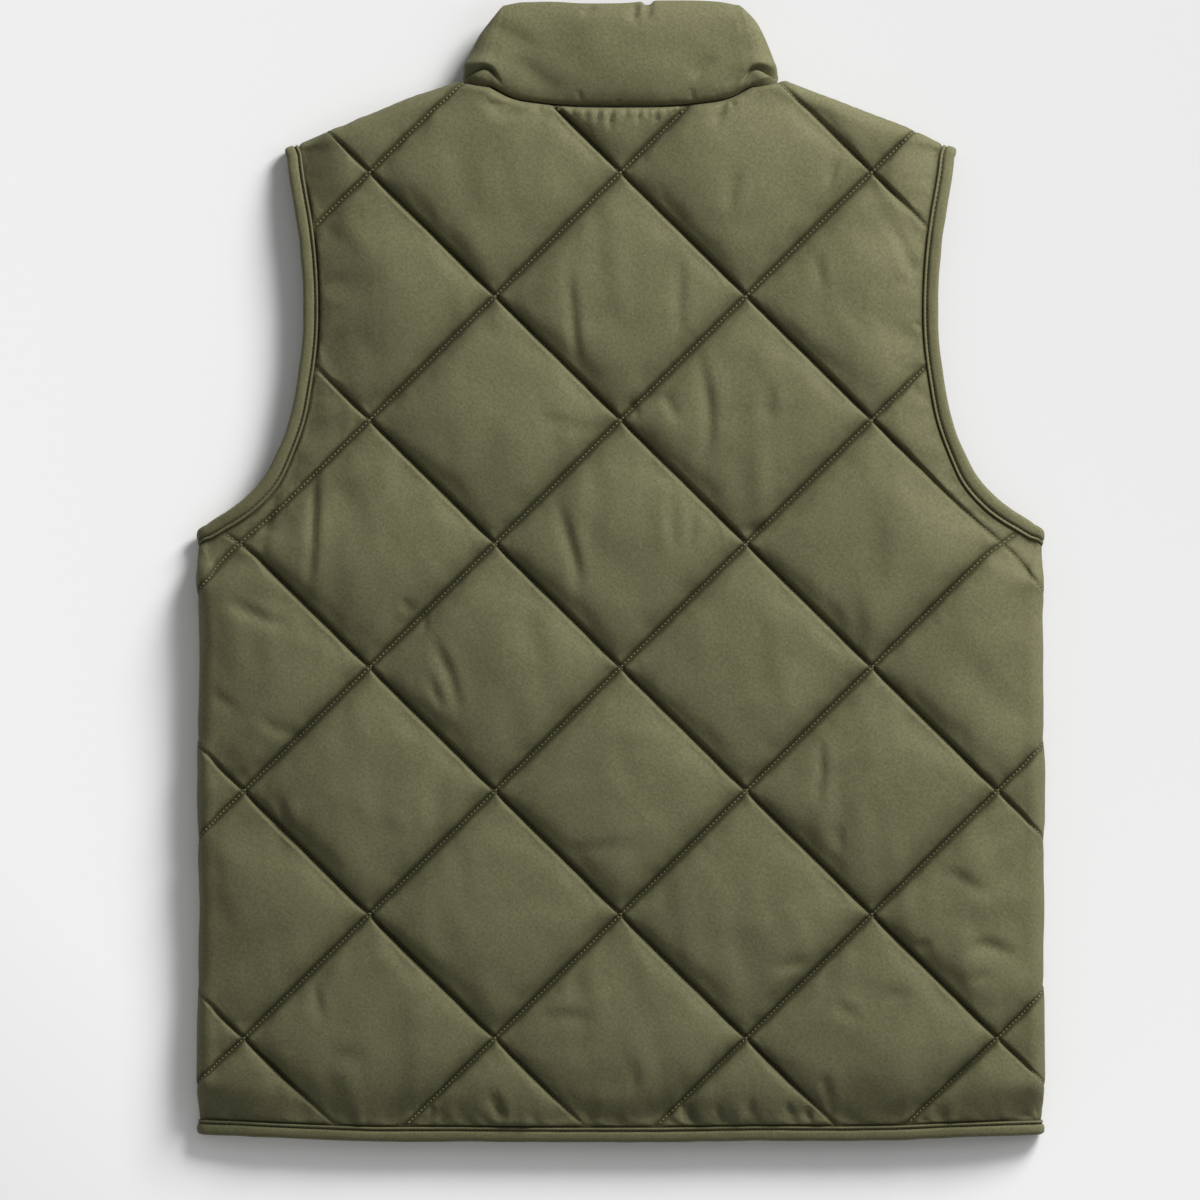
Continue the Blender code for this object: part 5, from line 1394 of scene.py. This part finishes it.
# The binding's stitches: real thread, coloured near black so that it also paints the shade in their stitch holes
DARK_THREAD_AND_SHADE = cloth_material("Deep olive thread with painted stitch shade", (0.014, 0.014, 0.008), (0.03, 0.03, 0.018), 1500, 1200, 0.4, 0.6,
                             0.1)
ZIP_CLOTH = cloth_material("Zip tape", (0.07, 0.071, 0.04), (0.09, 0.092, 0.05), 1400, 900, 0.5, 0.8, 0.1)
METAL = metal_material("Dark lacquered metal")
WORN_EDGE = 0.2 * MM


def dressed(node, material, bevel=0.0):
    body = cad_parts[node]
    body.data.materials.clear()
    body.data.materials.append(material)
    if bevel:
        edge = body.modifiers.new("worn edges", "BEVEL")
        edge.width = bevel
        edge.segments = 2
        edge.limit_method = "ANGLE"


# The vest

RIGHT_LOOP = np.vstack([HEM, SIDE[1:], ARMHOLE[1:], SHOULDER[1:], NECK[1:]])
BACK_LOOP = np.vstack([RIGHT_LOOP, mirrored(RIGHT_LOOP[1:-1])])
FRONT_LOOP = np.vstack([edge[:-1] for edge in FRONT_EDGES])
BACK_CUT = BACK_LOOP, BOUND_LINES, SEWN_LINES
FRONT_CUT = FRONT_LOOP, (FRONT_EDGES[0], FRONT_EDGES[2]), (FRONT_EDGES[1], *FRONT_EDGES[3:])
BACK_MIDDLE, FRONT_MIDDLE = 14, 11  # lines of the net in the middle of a diamond

back = panel("quilted_back", *BACK_CUT, BACK_MIDDLE, back_surface, back_relief, SHELL, BACK_FILLING)
back_thread = panel_stitches("back_quilting_thread", *BACK_CUT, back_surface, back_relief, THREAD)
fronts, front_threads, bindings = [], [], []
for side, hand, seed in ((1, "right", 101), (-1, "left", 131)):
    relief = lambda plan, seed=seed: front_relief(plan, seed)
    piece = panel("quilted_front_" + hand, *FRONT_CUT, FRONT_MIDDLE, front_surface, relief, SHELL, None, side)
    thread = panel_stitches("front_quilting_thread_" + hand, *FRONT_CUT, front_surface, relief, THREAD, side)
    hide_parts("front_" + hand)
    binding = armhole_binding(side, "armhole_tape_" + hand, BINDING)
    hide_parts("armhole_binding_" + hand)
    fronts.append(piece)
    front_threads.append(thread)
    bindings.append(binding)
hem = hem_binding("hem_tape", BINDING)
binding_thread = binding_stitches("binding_thread", DARK_THREAD_AND_SHADE)
collar = collar_piece("stand_collar", SHELL)
teeth = zip_teeth("zip_teeth", METAL)
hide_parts("back")
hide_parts("hem_binding")
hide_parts("collar")
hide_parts("zip_chain")
for hand in ("left", "right"):
    dressed("zip_tape_" + hand, ZIP_CLOTH)
for node in ("zip_box", "zip_slider", "zip_pull"):
    dressed(node, METAL, WORN_EDGE)

for piece in (back, back_thread, *fronts, *front_threads, hem, *bindings, binding_thread, collar, teeth):
    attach(piece, "vest")


# Floor, light and camera

VIEW_WIDTH = 780 * MM
VIEW_CENTRE = Vector((-13.45 * MM, -18.2 * MM, 15 * MM))
LENS = 150
SENSOR = 36
# Lamps: turn from +X and rise above the floor in degrees, distance and size in metres, power
LAMPS = {"Key": (52, 28, 2.5, 0.95, 87), "Side": (14, 40, 1.25, 0.7, 2.4)}
ROOM_LIGHT = 0.26
FLOOR_SIZE = 4.0  # metres from its middle to its edges
FLOOR_TONE = 0.895  # how light the lit floor looks everywhere
FLOOR_MOST = 1.2  # its lightest paint
FLOOR_DROP = 0.3 * MM


def lamp_way(turn, rise):
    turn, rise = math.radians(turn), math.radians(rise)
    return Vector((math.cos(rise) * math.cos(turn), math.cos(rise) * math.sin(turn), math.sin(rise)))


def math_node(tree, operation, where, first, second):
    return add_node(tree, "ShaderNodeMath", where, {0: first, 1: second}, operation=operation)[0]


def vector_node(tree, operation, where, first, second=(0, 0, 0)):
    return add_node(tree, "ShaderNodeVectorMath", where, {0: first, 1: second}, operation=operation)


def floor_stage():
    """A pale floor, painted a little lighter where the lamp is further, so that it looks even."""
    material = bpy.data.materials.new("Pale floor")
    tree = new_tree(material)
    place = add_node(tree, "ShaderNodeTexCoord", (-1300, 0))["Object"]
    lit = ROOM_LIGHT
    for down, (turn, rise, far, _, power) in zip((0, -400), LAMPS.values()):
        way = lamp_way(turn, rise)
        away = vector_node(tree, "SUBTRACT", (-1100, down), place, way * far)["Vector"]
        length = vector_node(tree, "LENGTH", (-900, down + 100), away)["Value"]
        facing = vector_node(tree, "DOT_PRODUCT", (-900, down - 100), away, -way)["Value"]
        fourth = math_node(tree, "POWER", (-700, down + 100), length, 4.0)
        share = math_node(tree, "DIVIDE", (-520, down), facing, fourth)
        share = math_node(tree, "MULTIPLY", (-360, down), share, power * far * way.z / math.pi**2)
        lit = math_node(tree, "ADD", (-200, down), share, lit)
    tone = math_node(tree, "DIVIDE", (-40, 0), FLOOR_TONE, lit)
    tone = math_node(tree, "MINIMUM", (120, 0), tone, FLOOR_MOST)
    end_tree(tree, "ShaderNodeBsdfDiffuse", (300, 0), {"Color": tone})
    corners = [(x * FLOOR_SIZE, y * FLOOR_SIZE, 0) for x, y in ((-1, -1), (1, -1), (1, 1), (-1, 1))]
    floor = new_piece("floor", corners, [(0, 1, 2, 3)], material, smooth=False)
    floor.location.z = -FLOOR_DROP


def lights():
    world = bpy.data.worlds.new("Soft room")
    bpy.context.scene.world = world
    world.use_nodes = True
    room = world.node_tree.nodes["Background"].inputs
    room["Color"].default_value = (1, 1, 1, 1)
    room["Strength"].default_value = ROOM_LIGHT
    for name, (turn, rise, far, size, power) in LAMPS.items():
        lamp = bpy.data.lights.new(name, "AREA")
        lamp.shape = "SQUARE"
        lamp.size = size
        lamp.energy = power
        body = bpy.data.objects.new(name, lamp)
        body.location = lamp_way(turn, rise) * far
        body.rotation_euler = lamp_way(turn, rise).to_track_quat("Z", "Y").to_euler()
        bpy.context.scene.collection.objects.link(body)


def camera():
    data = bpy.data.cameras.new("Above")
    data.lens = LENS
    data.sensor_width = SENSOR
    view = bpy.data.objects.new("Above", data)
    view.location = VIEW_CENTRE + Vector((0, 0, VIEW_WIDTH * LENS / SENSOR))
    bpy.context.scene.collection.objects.link(view)
    bpy.context.scene.camera = view


floor_stage()
lights()
camera()
bpy.context.scene.view_settings.view_transform = "Standard"
